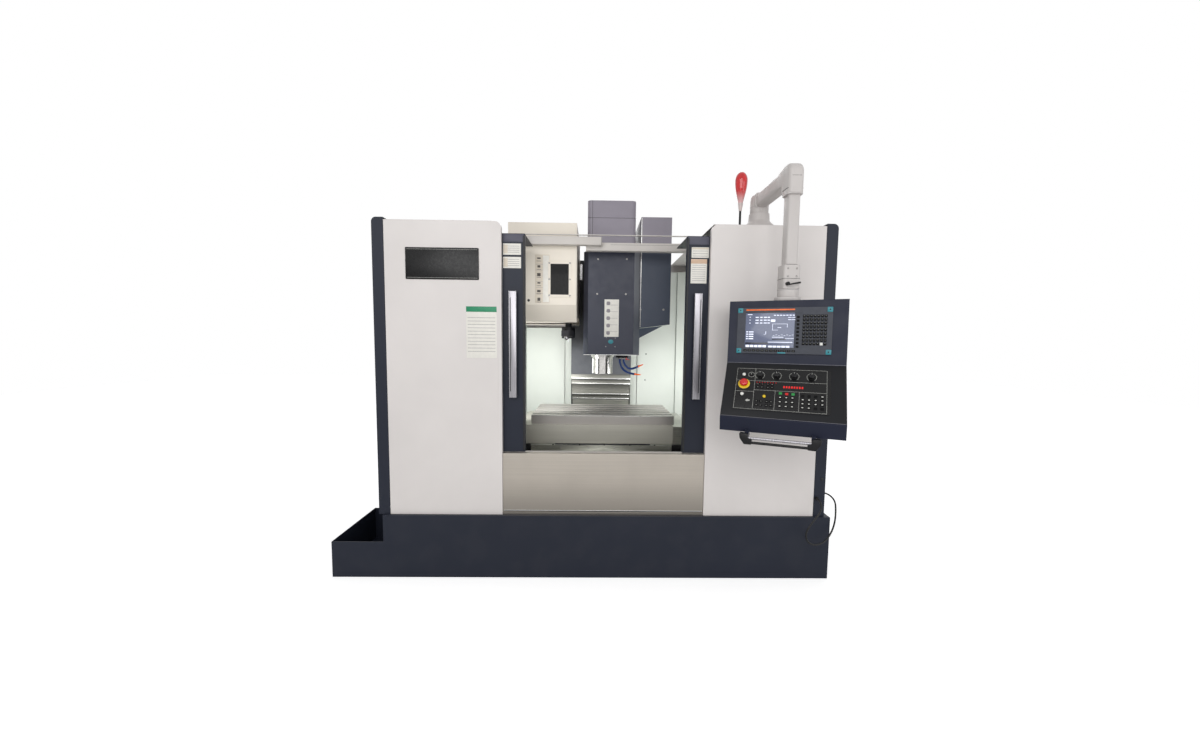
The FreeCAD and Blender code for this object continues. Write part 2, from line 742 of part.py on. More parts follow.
def spindle_motor_x():
    """The motor stands over the spindle."""
    return (d.head_left + d.head_right) / 2 - 60


def spindle():
    """The fluted nose, the turning spindle with its taper socket, and the motor above."""
    y, low, high, radius = d.spindle_y, d.nose_bottom, d.nose_top, d.nose_radius
    body = cut(fuse(rod("z", (0, y), (low, high), radius),
                    rod("z", (0, y), (high - 14, d.head_bottom + 4), radius + 8)),
               rod("z", (0, y), (low - 1, d.head_bottom + 5), 35 + d.gap))
    flutes = []
    for step in range(8):
        angle = math.radians(22.5 + 45 * step)
        flutes.append(prism("z", ((radius + 2) * math.cos(angle),
                                  y + (radius + 2) * math.sin(angle)), (low - 1, high - 26), 9, 8))
    keep(cut(body, *flutes), "spindle_nose")
    taper_face, taper_back, taper_depth = 22.2, 12.3, 68
    nose = low - 5
    outline = [(taper_face, nose), (35, nose), (35, d.head_bottom + 150), (25, d.head_bottom + 150),
               (25, 2046), (0, 2046), (0, nose + taper_depth + 30),
               (taper_back, nose + taper_depth + 30), (taper_back, nose + taper_depth)]
    shaft = turned([(size(u), size(v)) for u, v in outline])
    place(shaft, 0, y, 0)
    keys = [block((x0, x1), (y - 8, y + 8), (nose - 8, nose))
            for x0, x1 in ((-34, -24), (24, 34))]
    keep(fuse(shaft, *keys), "spindle")
    middle = spindle_motor_x()
    foot = block((middle - 100, middle + 100), (y - 110, y + 110), (2046 + 2, 2068))
    motor = fuse(block((middle - 92, middle + 92), (y - 92, y + 92), (2066, 2330)),
                 prism("z", (middle, y), (2330, 2400), 80, 16))
    feet = [block((-100, 100), (y - 110, y - 80), (1960, 2048)),
            block((-100, 100), (y + 80, y + 110), (1960, 2048))]
    keep(fuse(foot, motor, *feet), "spindle_motor")


HOSES = (
    ((158, 1334), (158, 1306), (170, 1280), (190, 1258), (216, 1250), (244, 1257), (272, 1270),
     (306, 1284)),
    ((132, 1334), (132, 1300), (142, 1268), (160, 1242), (186, 1224), (214, 1214), (246, 1208),
     (292, 1204)),
)


def between(first, last, radius):
    """One eight-sided link from one point to another."""
    way = last - first
    thing = doc.addObject("Part::Prism", "Link")
    thing.Polygon = 8
    thing.Circumradius = radius
    thing.Height = way.Length
    thing.Placement = Placement(first, Rotation(Vector(0, 0, 1), way))
    return thing


def nozzles():
    """Two hoses of joined segments that hang from a block under the head's casting."""
    block_low = d.head_bottom - 22
    keep(block((100, 190), (675, 745), (block_low, d.head_bottom + 4)), "coolant_nozzles")
    for row, points in enumerate(HOSES):
        path = [Vector(x, 698 + 26 * row, z) for x, z in points]
        path[0].z = block_low.value
        links = [between(a, b + (b - a).normalize() * 3, 8.5)
                 for a, b in zip(path, path[1:-1])]
        links.append(between(path[-2], path[-1], 5))
        keep(fuse(*links), "coolant_nozzles")


# ---------------------------------------------------------------- tool magazine

def magazine_cover():
    """The folded cover of the tool magazine, open below, with a window in its front."""
    front, back, wall = d.mag_front, d.mag_back, d.mag_wall
    outline = [(front, d.mag_fold), (front, d.mag_top), (back, d.mag_top), (back, d.mag_bottom),
               (front + 60, d.mag_bottom)]
    shell = profile("YZ", outline, (d.mag_left, d.mag_right))
    inner = [(front + wall, d.mag_fold), (front + wall, d.mag_top - wall),
             (back - wall, d.mag_top - wall), (back - wall, d.mag_bottom + wall),
             (front + 60 + wall, d.mag_bottom + wall)]
    hollow = profile("YZ", inner, (d.mag_left + wall, d.mag_right - wall))
    window = block((-372, -246), (front - 5, front + 20), (1775, 1985))
    mouth = block((d.mag_left + 40, d.mag_right + 5), (690, 1100),
                  (d.mag_bottom - 5, d.mag_bottom + 5))
    flank = block((-240, d.mag_right + 5), (690, 1100), (d.mag_bottom - 5, d.mag_bottom + 40))
    port = block((-560, -330), (back - 5, back + 5), (1800, 2000))
    keep(cut(shell, hollow, window, mouth, flank, port), "magazine_cover")
    frame = cut(block((-388, -230), (front - 5, front), (1759, 2001)),
                block((-372, -246), (front - 10, front + 10), (1775, 1985)))
    keep(frame, "magazine_cover")
    keep(block((-372, -246), (front - 3, front), (1775, 1985)), "magazine_window")


def tool_reel():
    """The tool reel on its horizontal shaft, with pots and the holders in them."""
    y, z, radius = d.spindle_y + 20, d.reel_height, d.reel_radius
    disc = fuse(prism("x", (y, z), (-596, -578), radius + 20, 24),
                prism("x", (y, z), (-578, -500), 60, 16))
    bore = rod("x", (y, z), (-600, -490), 30 + d.gap)
    lights = []
    count = 24
    for step in range(6):
        angle = math.radians(60 * step + 15)
        lights.append(prism("x", (y + 150 * math.cos(angle), z + 150 * math.sin(angle)),
                            (-600, -570), 50, 12))
    keep(cut(disc, bore, *lights), "tool_reel")
    pots = []
    holders = []
    for step in range(count):
        angle = math.radians(360 / count * step + 7.5)
        at = (y + radius * math.cos(angle), z + radius * math.sin(angle))
        pots.append(cut(prism("x", at, (-578, -490), d.pot_radius, 8),
                        prism("x", at, (-560, -485), 23, 6)))
        if step % 3 == 0:
            holders.append(fuse(prism("x", at, (-560, -490), 22.5, 6),
                                prism("x", at, (-490, -470), 30, 10),
                                prism("x", at, (-470, -420), 20, 6)))
    keep(group(*pots), "tool_reel")
    keep(group(*holders), "tool_reel")
    plate = block((-640, -615), (560, d.mag_back - 6), (1780, 2080))
    shaft = rod("x", (y, z), (-615, -492), 30)
    drive = block((-655, -640), (740, 900), (1850, 2000))
    beam = block((-556, -334), (d.mag_back - 40, d.column_front - 5), (1804, 1996))
    foot = block((-556, -d.column_half), (d.column_front - 5, d.column_front + 38), (1804, 1996))
    tie = block((-640, -334), (d.mag_back - 40, d.mag_back - d.mag_wall), (1804, 1996))
    keep(fuse(plate, shaft, drive, beam, foot, tie), "magazine_frame")


def change_arm():
    """The cam box and the double gripper that swaps tools."""
    x, y = -d.arm_reach, d.spindle_y
    housing = block((-325, -210), (700, 1090), (1630, 1790))
    neck = rod("z", (x, y), (1600, 1630), 46)
    hanger = block((-325, -210), (1060, d.mag_back - d.mag_wall), (1700, 1790))
    keep(cut(fuse(housing, neck, hanger), rod("z", (x, y), (1590, 1762), 24 + d.gap)),
         "magazine_frame")
    low, high = 1490, 1530
    bar = block((x - 38, x + 38), (y - d.arm_reach + 20, y + d.arm_reach - 20), (low, high))
    hub = rod("z", (x, y), (1475, 1560), 52)
    shaft = rod("z", (x, y), (1555, 1745), 24)
    jaws = []
    for side in (-1, 1):
        centre = y + d.arm_reach * side
        ring = cut(rod("z", (x, centre), (low, high), 50), rod("z", (x, centre), (low - 5, high + 5), 32),
                   block((x + 5 * side, x + 60 * side) if side > 0 else (x - 60, x - 5),
                         (centre - 60, centre + 60), (low - 5, high + 5)))
        jaws.append(ring)
    keep(fuse(bar, hub, shaft, *jaws), "change_arm")


# ---------------------------------------------------------------- enclosure

def front_panels():
    """Folded front panels, their corner beside the opening rounded, and the side panels."""
    low = d.tank_top
    wall = d.sheet
    for side, name in ((-1, "left"), (1, "right")):
        inner_x = d.opening_half * side
        outer_x = (d.half_width - d.side_strip) * side
        outline = [(inner_x, low), (outer_x, low), (outer_x, d.panel_top),
                   (inner_x, d.panel_top, d.panel_corner)]
        hollow = [(inner_x + wall * side, low + wall), (outer_x - wall * side, low + wall),
                  (outer_x - wall * side, d.panel_top - wall),
                  (inner_x + wall * side, d.panel_top - wall, d.panel_corner - wall)]
        shell = profile("XZ", outline, (0, d.panel_depth))
        inside = profile("XZ", hollow, (wall, d.panel_depth + wall))
        keep(cut(shell, inside), "cabinet_panels")
        edge = d.half_width * side
        inset = (d.half_width - d.side_strip + 2) * side
        top = d.panel_top + d.side_rise
        side_outline = [(inset, low), (edge, low), (edge, top, d.side_corner), (inset, top)]
        side_hollow = [(inset - wall * side, low - wall), (edge - wall * side, low - wall),
                       (edge - wall * side, top - wall, d.side_corner - wall),
                       (inset - wall * side, top - wall)]
        skin = profile("XZ", side_outline, (0, d.cabinet_depth))
        void = profile("XZ", side_hollow, (wall, d.cabinet_depth - wall))
        keep(cut(skin, void), "side_panels")


def cabin():
    """The bright inner walls, the chip pans beside the bed, the roof and the rear panels."""
    wall = d.sheet
    rear = d.column_front - 8
    low, high = size(520), d.door_top - d.sheet - 5
    for side in (-1, 1):
        x0 = (d.column_half + 4) * side
        bend, outer = d.wall_bend * side, d.wall_half * side
        thick = wall * side
        front = rear - d.wall_step
        outline = [(x0, rear - wall), (bend, rear - wall), (bend, front - wall),
                   (outer, front - wall), (outer, d.wall_front), (outer + thick, d.wall_front),
                   (outer + thick, front), (bend + thick, front), (bend + thick, rear), (x0, rear)]
        skin = profile("XY", outline, (low, high))
        bed = block(ordered(0, (d.bed_half + 4) * side), (rear - 50, rear + 10),
                    (low - 5, d.bed_step + 6))
        if side < 0:
            notch = block((d.mag_left - 15, -d.column_half), (d.mag_back - 60, rear + 20),
                          (d.mag_bottom - 20, high + 5))
            skin = cut(skin, bed, notch)
        else:
            skin = cut(skin, bed)
        keep(skin, "cabin_walls")
        inner_end = d.bed_half * side
        pan = [(inner_end, d.pan_inner), (outer, d.pan_outer), (outer, d.pan_outer + wall),
               (inner_end, d.pan_inner + wall)]
        keep(profile("XZ", pan, (60, rear - wall - d.wall_step - 2)), "cabin_walls")


def ordered(a, b):
    """Two places on an axis, the lower one first."""
    return (a, b) if size(a).value < size(b).value else (b, a)


def rear_and_roof():
    """The rear panels beside the column and the roof panels over the two cupboards."""
    wall = d.sheet
    edge = d.half_width - d.side_strip + 2
    for side, roof_in in ((-1, d.mag_left - 12), (1, size(632))):
        column_edge = d.column_half * side
        bed_edge = (d.bed_half + 4) * side
        above_bed = d.bed_step + 6
        outline = [(bed_edge, d.tank_top), (edge * side, d.tank_top), (edge * side, d.panel_top),
                   (column_edge, d.panel_top), (column_edge, above_bed), (bed_edge, above_bed)]
        keep(profile("XZ", outline, (d.cabinet_depth - wall, d.cabinet_depth)), "cabinet_panels")
        keep(block(ordered(roof_in, edge * side), (5, d.cabinet_depth),
                   (d.panel_top, d.panel_top + wall)), "cabinet_panels")


def sill():
    """The brushed apron under the doors with its lip, and the rails that the doors run on."""
    half, front = d.opening_half, d.apron_front
    outline = [(front, d.tank_top), (front, d.apron_top), (front + 27, d.apron_top),
               (front + 27, d.apron_top - 3), (front + 3, d.apron_top - 3),
               (front + 3, size(413)), (front + 16, size(413)), (front + 16, d.tank_top)]
    keep(profile("YZ", outline, (-half + 1, half - 1)), "apron")
    reach = d.half_width - d.sheet
    back = d.door_front + d.door_depth
    lower = block((-reach, reach), (d.door_front + 12, d.door_front + 28),
                  (d.door_bottom - 40, d.door_bottom - d.gap))
    upper = block((-reach, reach), (back - 22, back - 6), (d.door_top + d.gap, d.door_top + 28))
    keep(group(lower, upper), "door_guides")


def roof_beams():
    """The two folded beams across the top of the opening, held by the roof panels."""
    roof = d.panel_top
    keep(block((d.mag_left - 12, -21), (400, 450), (roof - 45, roof + 10)), "door_guides")
    right = block((-129, 650), (450, 505), (roof - 73, roof - 18))
    bracket = block((610, 650), (450, 505), (roof - 18, roof))
    keep(fuse(right, bracket), "door_guides")


def doors():
    """Sliding doors: a tray with a window, a folded roof behind it, a handle and a pane."""
    wall = d.sheet
    front, depth = d.door_front, d.door_depth
    for side, name in ((-1, "left"), (1, "right")):
        span = ordered(d.door_inner * side, (d.door_inner + d.door_width) * side)
        leaf = tray(span, (front, front + depth), (d.door_bottom, d.door_top), wall, (1, 1))
        lid = block(span, (front + depth - 6, d.door_roof_back), (d.door_top - wall, d.door_top))
        glass = ordered((d.door_inner + 170) * side, (d.door_inner + d.door_width - 70) * side)
        opening = block(glass, (front - 5, front + wall + 5), (1180, 1860))
        centre = d.handle_centre * side
        half = d.handle_width / 2
        bar = block((centre - half, centre + half), (front - 38, front - 26),
                    (d.handle_low, d.handle_high))
        posts = [block((centre - 12, centre + 12), (front - 30, front), (z, z + 30))
                 for z in (d.handle_low + 40, d.handle_high - 70)]
        keep(fuse(cut(fuse(leaf, lid), opening), bar, *posts), f"door_{name}")
        pane = block((glass[0] - 20, glass[1] + 20), (front + wall, front + wall + 6),
                     (1160, 1880))
        keep(pane, f"door_pane_{name}")


def electrical_cabinet():
    """The cabinet behind the column, with its hinged door."""
    half, front = size(430), d.bed_rear
    back = front + 330
    low, high = size(520), size(2110)
    keep(tray((-half, half), (front, back), (low, high), 4, (1, 1)), "electrical_cabinet")
    leaf_front = back + d.flange_gap
    leaf = tray((-half, half), (leaf_front, back + 24), (low, high), 3, (1, -1))
    knuckles = [rod("z", (-half - 9, back + 5), (z, z + 60), 8) for z in (700, 1280, 1860)]
    straps = [block((-half - 9, -half + 2), (leaf_front, back + 6), (z, z + 60))
              for z in (700, 1280, 1860)]
    clearances = [block((-half - 20, -half), (back - 10, leaf_front), (low, high))]
    keep(cut(fuse(leaf, *knuckles, *straps), *clearances), "cabinet_door")


# ---------------------------------------------------------------- control box, arm and lamp

def lamp():
    """The tear-drop lamp: a tapered lens over a thin stem that stands on the roof."""
    lens = stacked([(8, 139), (17, 187), (26, 237), (37, 292), (38.5, 322), (33, 350),
                    (18, 366), (6, 371)], 24)
    roof = d.panel_top + d.sheet
    keep(place(lens, 845, d.post_y, roof), "signal_lamp")
    stem = fuse(prism("z", (0, 0), (0, 9), 18, 16), prism("z", (0, 0), (9, 139), 7, 12))
    keep(place(group(stem), 845, d.post_y, roof), "signal_lamp")


def support_arm():
    """The fixed post, the arm that swings over it and the tube that carries the box."""
    x, y, low = d.post_x, d.post_y, d.panel_top + d.sheet
    arm_low = low + d.arm_rise
    arm_high = arm_low + d.arm_thick
    pin_low, pin_high = low + 112, low + 190
    top = pin_low.value - low.value
    foot = stacked([(98, 0), (94, 8), (76, 26), (66, 44), (62, top)], 32)
    pin = rod("z", (x, y), (pin_low, pin_high), 22)
    keep(fuse(place(foot, x, y, low), pin), "arm_post")
    half = d.tube_side / 2
    hub_low = pin_low + d.gap
    hub = cut(rod("z", (x, y), (hub_low, arm_high), 62),
              rod("z", (x, y), (hub_low - 1, pin_high + d.gap), 22 + d.gap))
    beam = block((x - half, x + half), (d.tube_y, y - 40), (arm_low, arm_high))
    elbow_low = arm_low - 64
    elbow_outline = [(d.tube_y - 52, elbow_low), (d.tube_y + 46, elbow_low),
                     (d.tube_y + 46, arm_low), (d.tube_y + 110, arm_low),
                     (d.tube_y + 110, arm_high + 6), (d.tube_y - 20, arm_high + 14),
                     (d.tube_y - 52, arm_high - 20)]
    elbow = profile("YZ", elbow_outline, (x - half - 6, x + half + 6))
    keep(fuse(hub, beam, elbow), "support_arm")
    sleeve_low, sleeve_high = size(1748), size(1872)
    keep(block((x - half, x + half), (d.tube_y - half, d.tube_y + half),
               (sleeve_high, elbow_low)), "support_arm")
    sleeve = block((x - half - 5, x + half + 5), (d.tube_y - half - 5, d.tube_y + half + 5),
                   (sleeve_low, sleeve_high))
    bore = rod("z", (x, d.tube_y), (sleeve_low - 5, 1800), 30 + d.gap)
    keep(cut(sleeve, bore), "support_arm")
    face = d.tube_y - half - 5
    grip = fuse(rod("y", (x - 26, 1772), (face - 21, face - d.gap), 9),
                block((x - 34, x + 40), (face - 31, face - 17), (1764, 1780)))
    keep(grip, "clamp_lever")


def turned_with_box(thing, label):
    """Place a piece drawn about the tube's axis, turned with the control box."""
    place(thing, d.post_x, d.tube_y, 0, turn=(Vector(0, 0, 1), d.box_turn))
    return keep(thing, label)


def tilted(y, z, lean, *things):
    """Pieces drawn on a face, moved to the face's lower edge and leant back with it."""
    return place(group(*things), 0, y, z, turn=(Vector(1, 0, 0), -lean))


def control_box():
    """The box: an upright screen part over a sloping key part, drawn about the tube's axis."""
    half = d.box_width / 2
    face, fold, lip = size(-90), size(-123), size(-311)
    lean = math.degrees(math.atan2((fold - face).value * -1, (d.box_high - d.box_fold).value))
    slope = math.degrees(math.atan2((fold - lip).value, (d.box_fold - d.lip_high).value))
    outline = [(size(70), d.box_high), (face, d.box_high), (fold, d.box_fold),
               (lip, d.lip_high), (lip + 5, d.lip_low), (size(-60), d.lip_low + 36),
               (size(70), d.box_fold - 60)]
    box = profile("YZ", outline, (-half, half))
    collar = fuse(prism("z", (0, 0), (d.box_high, d.box_high + 20), 62, 24),
                  prism("z", (0, 0), (d.box_high + 20, 1748 - d.gap), 52, 24),
                  rod("z", (0, 0), (1740, 1796), 30))

    stems = {"stop_button": (-half + 100, 196, 13), "start_button": (-half + 96, 250, 8.5),
             "hold_button": (-half + 96, 134, 8.5)}
    plate = block((-half + 64, half - 70), (-4, 2), (56, 282))
    bores = [prism("y", (x, z), (-10, 14), radius + d.gap, 16) for x, z, radius in stems.values()]
    on_slope = (lip, d.lip_high, slope)
    drilled = cut(fuse(box, tilted(*on_slope, plate)), tilted(*on_slope, *bores))
    turned_with_box(fuse(drilled, collar), "control_box")

    bezel = block((-half + 46, half - 70), (-9, 0), (52, 292))
    pocket = block((-half + 86, 84), (-12, -5), (84, 268))
    glass = block((-half + 86, 84), (-7, -5), (84, 268))
    for thing in (cut(bezel, pocket), glass):
        turned_with_box(group(tilted(fold, d.box_fold, lean, thing)), "screen_unit")

    for label, (x, z, radius) in stems.items():
        button = prism("y", (x, z), (-12, 2), radius, 16)
        if label == "stop_button":
            button = fuse(button, prism("y", (x, z), (-30, -12), 21, 24))
        turned_with_box(group(tilted(*on_slope, button)), label)
    for number, x in enumerate((-110, -30, 52, 132), start=1):
        knob = fuse(prism("y", (x, 250), (-22, -4 - d.gap), 15, 20),
                    block((x - 3, x + 3), (-26, -20), (236, 264)))
        turned_with_box(group(tilted(*on_slope, knob)), f"dial_{number}")

    bars = [prism("x", (lip - 34, d.lip_low + z), (-150, 150), 6, 12) for z in (-22, -44)]
    stays = []
    for x in (-150, 150):
        across = (x - 9, x + 9)
        stays.append(block(across, (lip - 46, lip - 20), (d.lip_low - 52, d.lip_low - 14)))
        stays.append(block(across, (lip - 24, lip + 40), (d.lip_low - 22, d.lip_low + 10)))
    turned_with_box(cut(fuse(*bars, *stays), box), "control_box")


# ---------------------------------------------------------------- cord

CORD_ROUTE = (
    (1318, -10, 505), (1318, -59, 505), (1302, -102, 464), (1250, -108, 400), (1210, -102, 332),
    (1226, -95, 268), (1280, -88, 243), (1342, -80, 262), (1390, -62, 314), (1426, -30, 368),
    (1452, 14, 422), (1474, 64, 462), (1466, 114, 486), (1428, 142, 496), (1380, 142, 496),
)


def cord_tube(points, radius):
    """Straight runs joined by tangent arcs, each as large as its two runs allow."""
    points = [Vector(*p) for p in points]
    edges = []
    radii = []
    start = points[0]
    for before, corner, after in zip(points, points[1:], points[2:]):
        run_in = (corner - before).Length
        run_out = (after - corner).Length
        one = (before - corner).normalize()
        two = (after - corner).normalize()
        half_turn = (math.pi - one.getAngle(two)) / 2
        reach = 0.45 * min(run_in, run_out)
        bend = reach / math.tan(half_turn)
        radii.append(bend)
        first = corner + one * reach
        last = corner + two * reach
        middle_way = (one + two).normalize()
        middle = corner + middle_way * (bend / math.cos(half_turn) - bend)
        edges.append(Part.LineSegment(start, first).toShape())
        edges.append(Part.Arc(first, middle, last).toShape())
        start = last
    edges.append(Part.LineSegment(start, points[-1]).toShape())
    spine = Part.Wire(edges)
    way = (points[1] - points[0]).normalize()
    sides = 10
    turn = Rotation(Vector(0, 0, 1), way)
    corners = [points[0] + turn * Vector(radius * math.cos(2 * math.pi * n / sides),
                                         radius * math.sin(2 * math.pi * n / sides), 0)
               for n in range(sides + 1)]
    tube = spine.makePipeShell([Part.makePolygon(corners)], True, False)
    expected = sides / 2 * radius ** 2 * math.sin(2 * math.pi / sides) * spine.Length
    print(f"cord: {spine.Length:.0f} mm long, radii "
          + " ".join(f"{r:.0f}" for r in radii)
          + f", volume {tube.Volume / expected:.4f} of section times length")
    return tube


def cord():
    """The lead that loops in front of the tank's end, and the glands it runs between."""
    solid = doc.addObject("Part::Feature", "Tube")
    solid.Shape = cord_tube(CORD_ROUTE, 5)
    keep(solid, "cord")
    x, y, z = CORD_ROUTE[0]
    keep(fuse(prism("y", (x, z), (-5, 0), 13, 6), prism("y", (x, z), (y, -5), 9, 12)),
         "cord_glands")
    x, y, z = CORD_ROUTE[-1]
    edge = d.half_width
    keep(fuse(prism("x", (y, z), (edge, edge + 5), 13, 6),
              prism("x", (y, z), (edge + 5, x), 9, 12)), "cord_glands")


def build():
    """Every sub-part of the machine."""
    coolant_tank()
    machine_bed()
    guides()
    y_axis, x_axis = (0, d.bed_top - 25), (d.table_centre, d.saddle_top + d.screw_rise)
    z_axis = (0, d.column_front + d.screw_gap)
    seat = y_motor_seat()
    feed_screw("y", y_axis, (d.bed_front + 15, seat - d.gap), "y_screw", d.screw_radius)
    servo("y", y_axis, (seat, seat + 180), size(62), "feed_drives")
    feed_screw("x", x_axis, (-d.saddle_half + 2, d.saddle_half - 2), "x_screw", x_screw_radius())
    servo("x", x_axis, (d.saddle_half, d.saddle_half + 80), size(48), "saddle")
    feed_screw("z", z_axis, (d.z_rail_low - 5, d.column_top - d.gap), "z_screw", d.screw_radius)
    servo("z", z_axis, (d.column_top, d.column_top + 210), size(65), "feed_drives")
    saddle()
    table()
    x_covers()
    y_covers()
    column()
    z_covers()
    head()
    head_covers()
    spindle()
    nozzles()
    magazine_cover()
    tool_reel()
    change_arm()
    front_panels()
    cabin()
    rear_and_roof()
    sill()
    roof_beams()
    doors()
    electrical_cabinet()
    lamp()
    support_arm()
    control_box()
    cord()


def check(subparts):
    """Stop if an object of the document failed or a sub-part has no valid shape."""
    doc.recompute()
    for thing in doc.Objects:
        if {"Invalid", "Error"} & set(thing.State):
            raise RuntimeError(f"{thing.Label} failed: {thing.State}")
    for thing in subparts:
        if thing.Shape.isNull() or not thing.Shape.isValid() or not thing.Shape.Solids:
            raise RuntimeError(f"{thing.Label} has no valid solid")


def write(subparts):
    """One file for each sub-part."""
    os.makedirs("parts", exist_ok=True)
    for thing in subparts:
        thing.Shape.exportStep(os.path.join("parts", f"{thing.Label}.step"))
    print(len(subparts), "sub-parts")


build()
finished = name_subparts()
check(finished)
write(finished)
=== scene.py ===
"""Looks of a vertical machining centre: its finishes, its small pieces and the studio.

The machine's construction is loaded as a fixed frame. Everything here is placed in that frame,
whose origin is on the floor under the middle of the door opening, with +X to the operator's
right, +Y into the machine and +Z up. Shapes are worked out in millimetres on a face of the
machine and turned to metres when they are put in place.
"""
import json
import math

import bmesh
import bpy
import numpy as np
from mathutils import Matrix, Vector


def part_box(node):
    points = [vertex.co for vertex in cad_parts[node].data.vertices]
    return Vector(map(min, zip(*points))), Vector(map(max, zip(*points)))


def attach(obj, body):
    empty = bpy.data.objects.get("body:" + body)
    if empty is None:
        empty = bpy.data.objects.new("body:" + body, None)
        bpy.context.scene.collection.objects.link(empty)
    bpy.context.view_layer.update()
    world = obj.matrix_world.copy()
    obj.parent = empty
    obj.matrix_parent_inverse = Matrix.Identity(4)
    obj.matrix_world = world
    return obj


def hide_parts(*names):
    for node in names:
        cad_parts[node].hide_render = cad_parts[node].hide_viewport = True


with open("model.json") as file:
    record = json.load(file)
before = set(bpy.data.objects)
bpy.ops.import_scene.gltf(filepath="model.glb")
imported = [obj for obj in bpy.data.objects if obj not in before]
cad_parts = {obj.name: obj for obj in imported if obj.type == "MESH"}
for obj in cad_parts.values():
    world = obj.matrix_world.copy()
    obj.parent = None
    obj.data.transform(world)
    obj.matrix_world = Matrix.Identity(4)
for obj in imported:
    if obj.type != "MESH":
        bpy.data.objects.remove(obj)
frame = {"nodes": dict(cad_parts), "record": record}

bl_info = {
    "name": "Machining Centre Looks",
    "version": (1, 0, 0),
    "blender": (4, 5, 0),
    "location": "3D View > Sidebar > Machine",
    "description": "Finishes, small pieces and studio of a vertical machining centre",
    "category": "Object",
}

MILLIMETRE = 0.001


# ---------------------------------------------------------------- sizes and colours

def tone(name, description, default):
    """A colour as it shows on a screen, red, green and blue from 0 to 1."""
    return bpy.props.FloatVectorProperty(
        name=name, description=description, default=default, size=3, min=0, max=1,
        subtype="COLOR_GAMMA")


def length(name, description, default):
    """A length in metres."""
    return bpy.props.FloatProperty(
        name=name, description=description, default=default, min=0, unit="LENGTH",
        subtype="DISTANCE")


class MachineColours(bpy.types.PropertyGroup):
    panels: tone("Panels", "Warm light grey powder coat of the front panels", (.87, .85, .84))
    cabin: tone("Cabin", "Bright coat of the inner walls", (.91, .93, .90))
    dark: tone("Dark coat", "Blue-grey coat of tank, doors and side strips", (.150, .165, .210))
    head: tone("Head", "Dark coat of the head's front hood", (.235, .245, .295))
    # The motor hood has the front hood's coat; this grey is painted light, the glare on the
    # head's top.
    hood: tone("Motor hood", "Grey coat of the hood over the spindle motor", (.55, .53, .57))
    flank: tone("Side box", "Bluish grey of the box on the head's flank", (.27, .295, .35))
    arm: tone("Arm", "Light grey of the support arm", (.79, .77, .76))
    box: tone("Control box", "Navy coat of the control box", (.12, .135, .20))
    magazine: tone("Magazine", "Light beige of the magazine cover", (.90, .87, .82))
    apron: tone("Apron", "Warm brushed sheet under the doors", (.76, .73, .69))
    covers: tone("Way covers", "Brushed sheet of the way covers", (.70, .70, .67))
    table: tone("Table", "Ground iron of the table", (.79, .77, .75))
    iron: tone("Castings", "Painted iron of bed, saddle and column", (.40, .41, .43))
    steel: tone("Steel", "Ground steel of rails and screws", (.76, .76, .77))
    nose: tone("Nose", "Satin steel of the spindle nose", (.80, .79, .78))
    lamp: tone("Lamp", "Red lens of the signal lamp", (.82, .0, .03))
    hose: tone("Hoses", "Blue links of the coolant hoses", (.06, .20, .44))
    orange: tone("Hose tips", "Orange tips of the coolant hoses", (.95, .42, .10))
    knob: tone("Knobs", "Black plastic of knobs and keys", (.07, .07, .08))
    teal: tone("Teal marks", "Corner marks of the screen's bezel", (.10, .50, .55))
    screen: tone("Screen", "Grey-blue ground of the lit screen", (.40, .43, .53))


class MachineSizes(bpy.types.PropertyGroup):
    lead_diameter: length("Lead diameter", "Diameter of the free lead", .010)
    lead_length: length("Lead length", "Length of the lead between its two glands", .880)
    relief_length: length("Strain relief", "Length of the tapered sleeve at each gland", .030)
    link_pitch: length("Hose link", "Distance from one hose link to the next", .0105)
    screw_head: length("Screw head", "Radius of the cover screws' heads", .0052)
    key_rise: length("Key rise", "How far a key stands out of its panel", .0022)
    lip_height: length("Cover lip", "Height of the wiper lip at a way cover's edge", .009)
    sheet: length("Label sheet", "Thickness of a label sheet", .0006)


# ---------------------------------------------------------------- shapes

def lattice(rings, loop=True):
    """Corners and faces of a closed surface through rings of points.

    A face joins points j and j + 1 of one ring to the same two of the next. Where the rings
    are loops, the first and the last are filled in, so that the surface is closed.
    """
    rings = np.asarray(rings, float)
    count, across = rings.shape[:2]
    i = np.arange(count - 1)[:, None] * across
    j = np.arange(across if loop else across - 1)[None, :]
    after = (j + 1) % across
    faces = np.stack([i + j, i + after, i + across + after, i + across + j], -1)
    faces = faces.reshape(-1, 4).tolist()
    if loop:
        faces.append(list(range(across))[::-1])
        faces.append(list(range((count - 1) * across, count * across)))
    return rings.reshape(-1, 3), faces


def joined(*shapes):
    """Several shapes as one: the faces of each count on from the corners before it."""
    starts = np.cumsum([0] + [len(points) for points, _ in shapes])
    faces = [[n + int(start) for n in face]
             for (_, sides), start in zip(shapes, starts) for face in sides]
    return np.concatenate([points for points, _ in shapes]), faces


def repeated(shape, places):
    """One shape at many places: every corner plus each place in turn."""
    points, faces = shape
    places = np.asarray(places, float)
    corners = (points[None] + places[:, None]).reshape(-1, 3)
    step = len(points)
    return corners, [[n + k * step for n in face] for k in range(len(places)) for face in faces]


def outline(width, height, radius, steps=3):
    """A rectangle with rounded corners: a quarter circle about each corner's own centre."""
    turn = np.linspace(0, np.pi / 2, steps + 1)
    angle = (turn[None] + np.arange(4)[:, None] * np.pi / 2)
    centre = np.array([[1, 1], [-1, 1], [-1, -1], [1, -1]]) * [width / 2 - radius,
                                                              height / 2 - radius]
    arcs = centre[:, None] + radius * np.stack([np.cos(angle), np.sin(angle)], -1)
    return arcs.reshape(-1, 2)


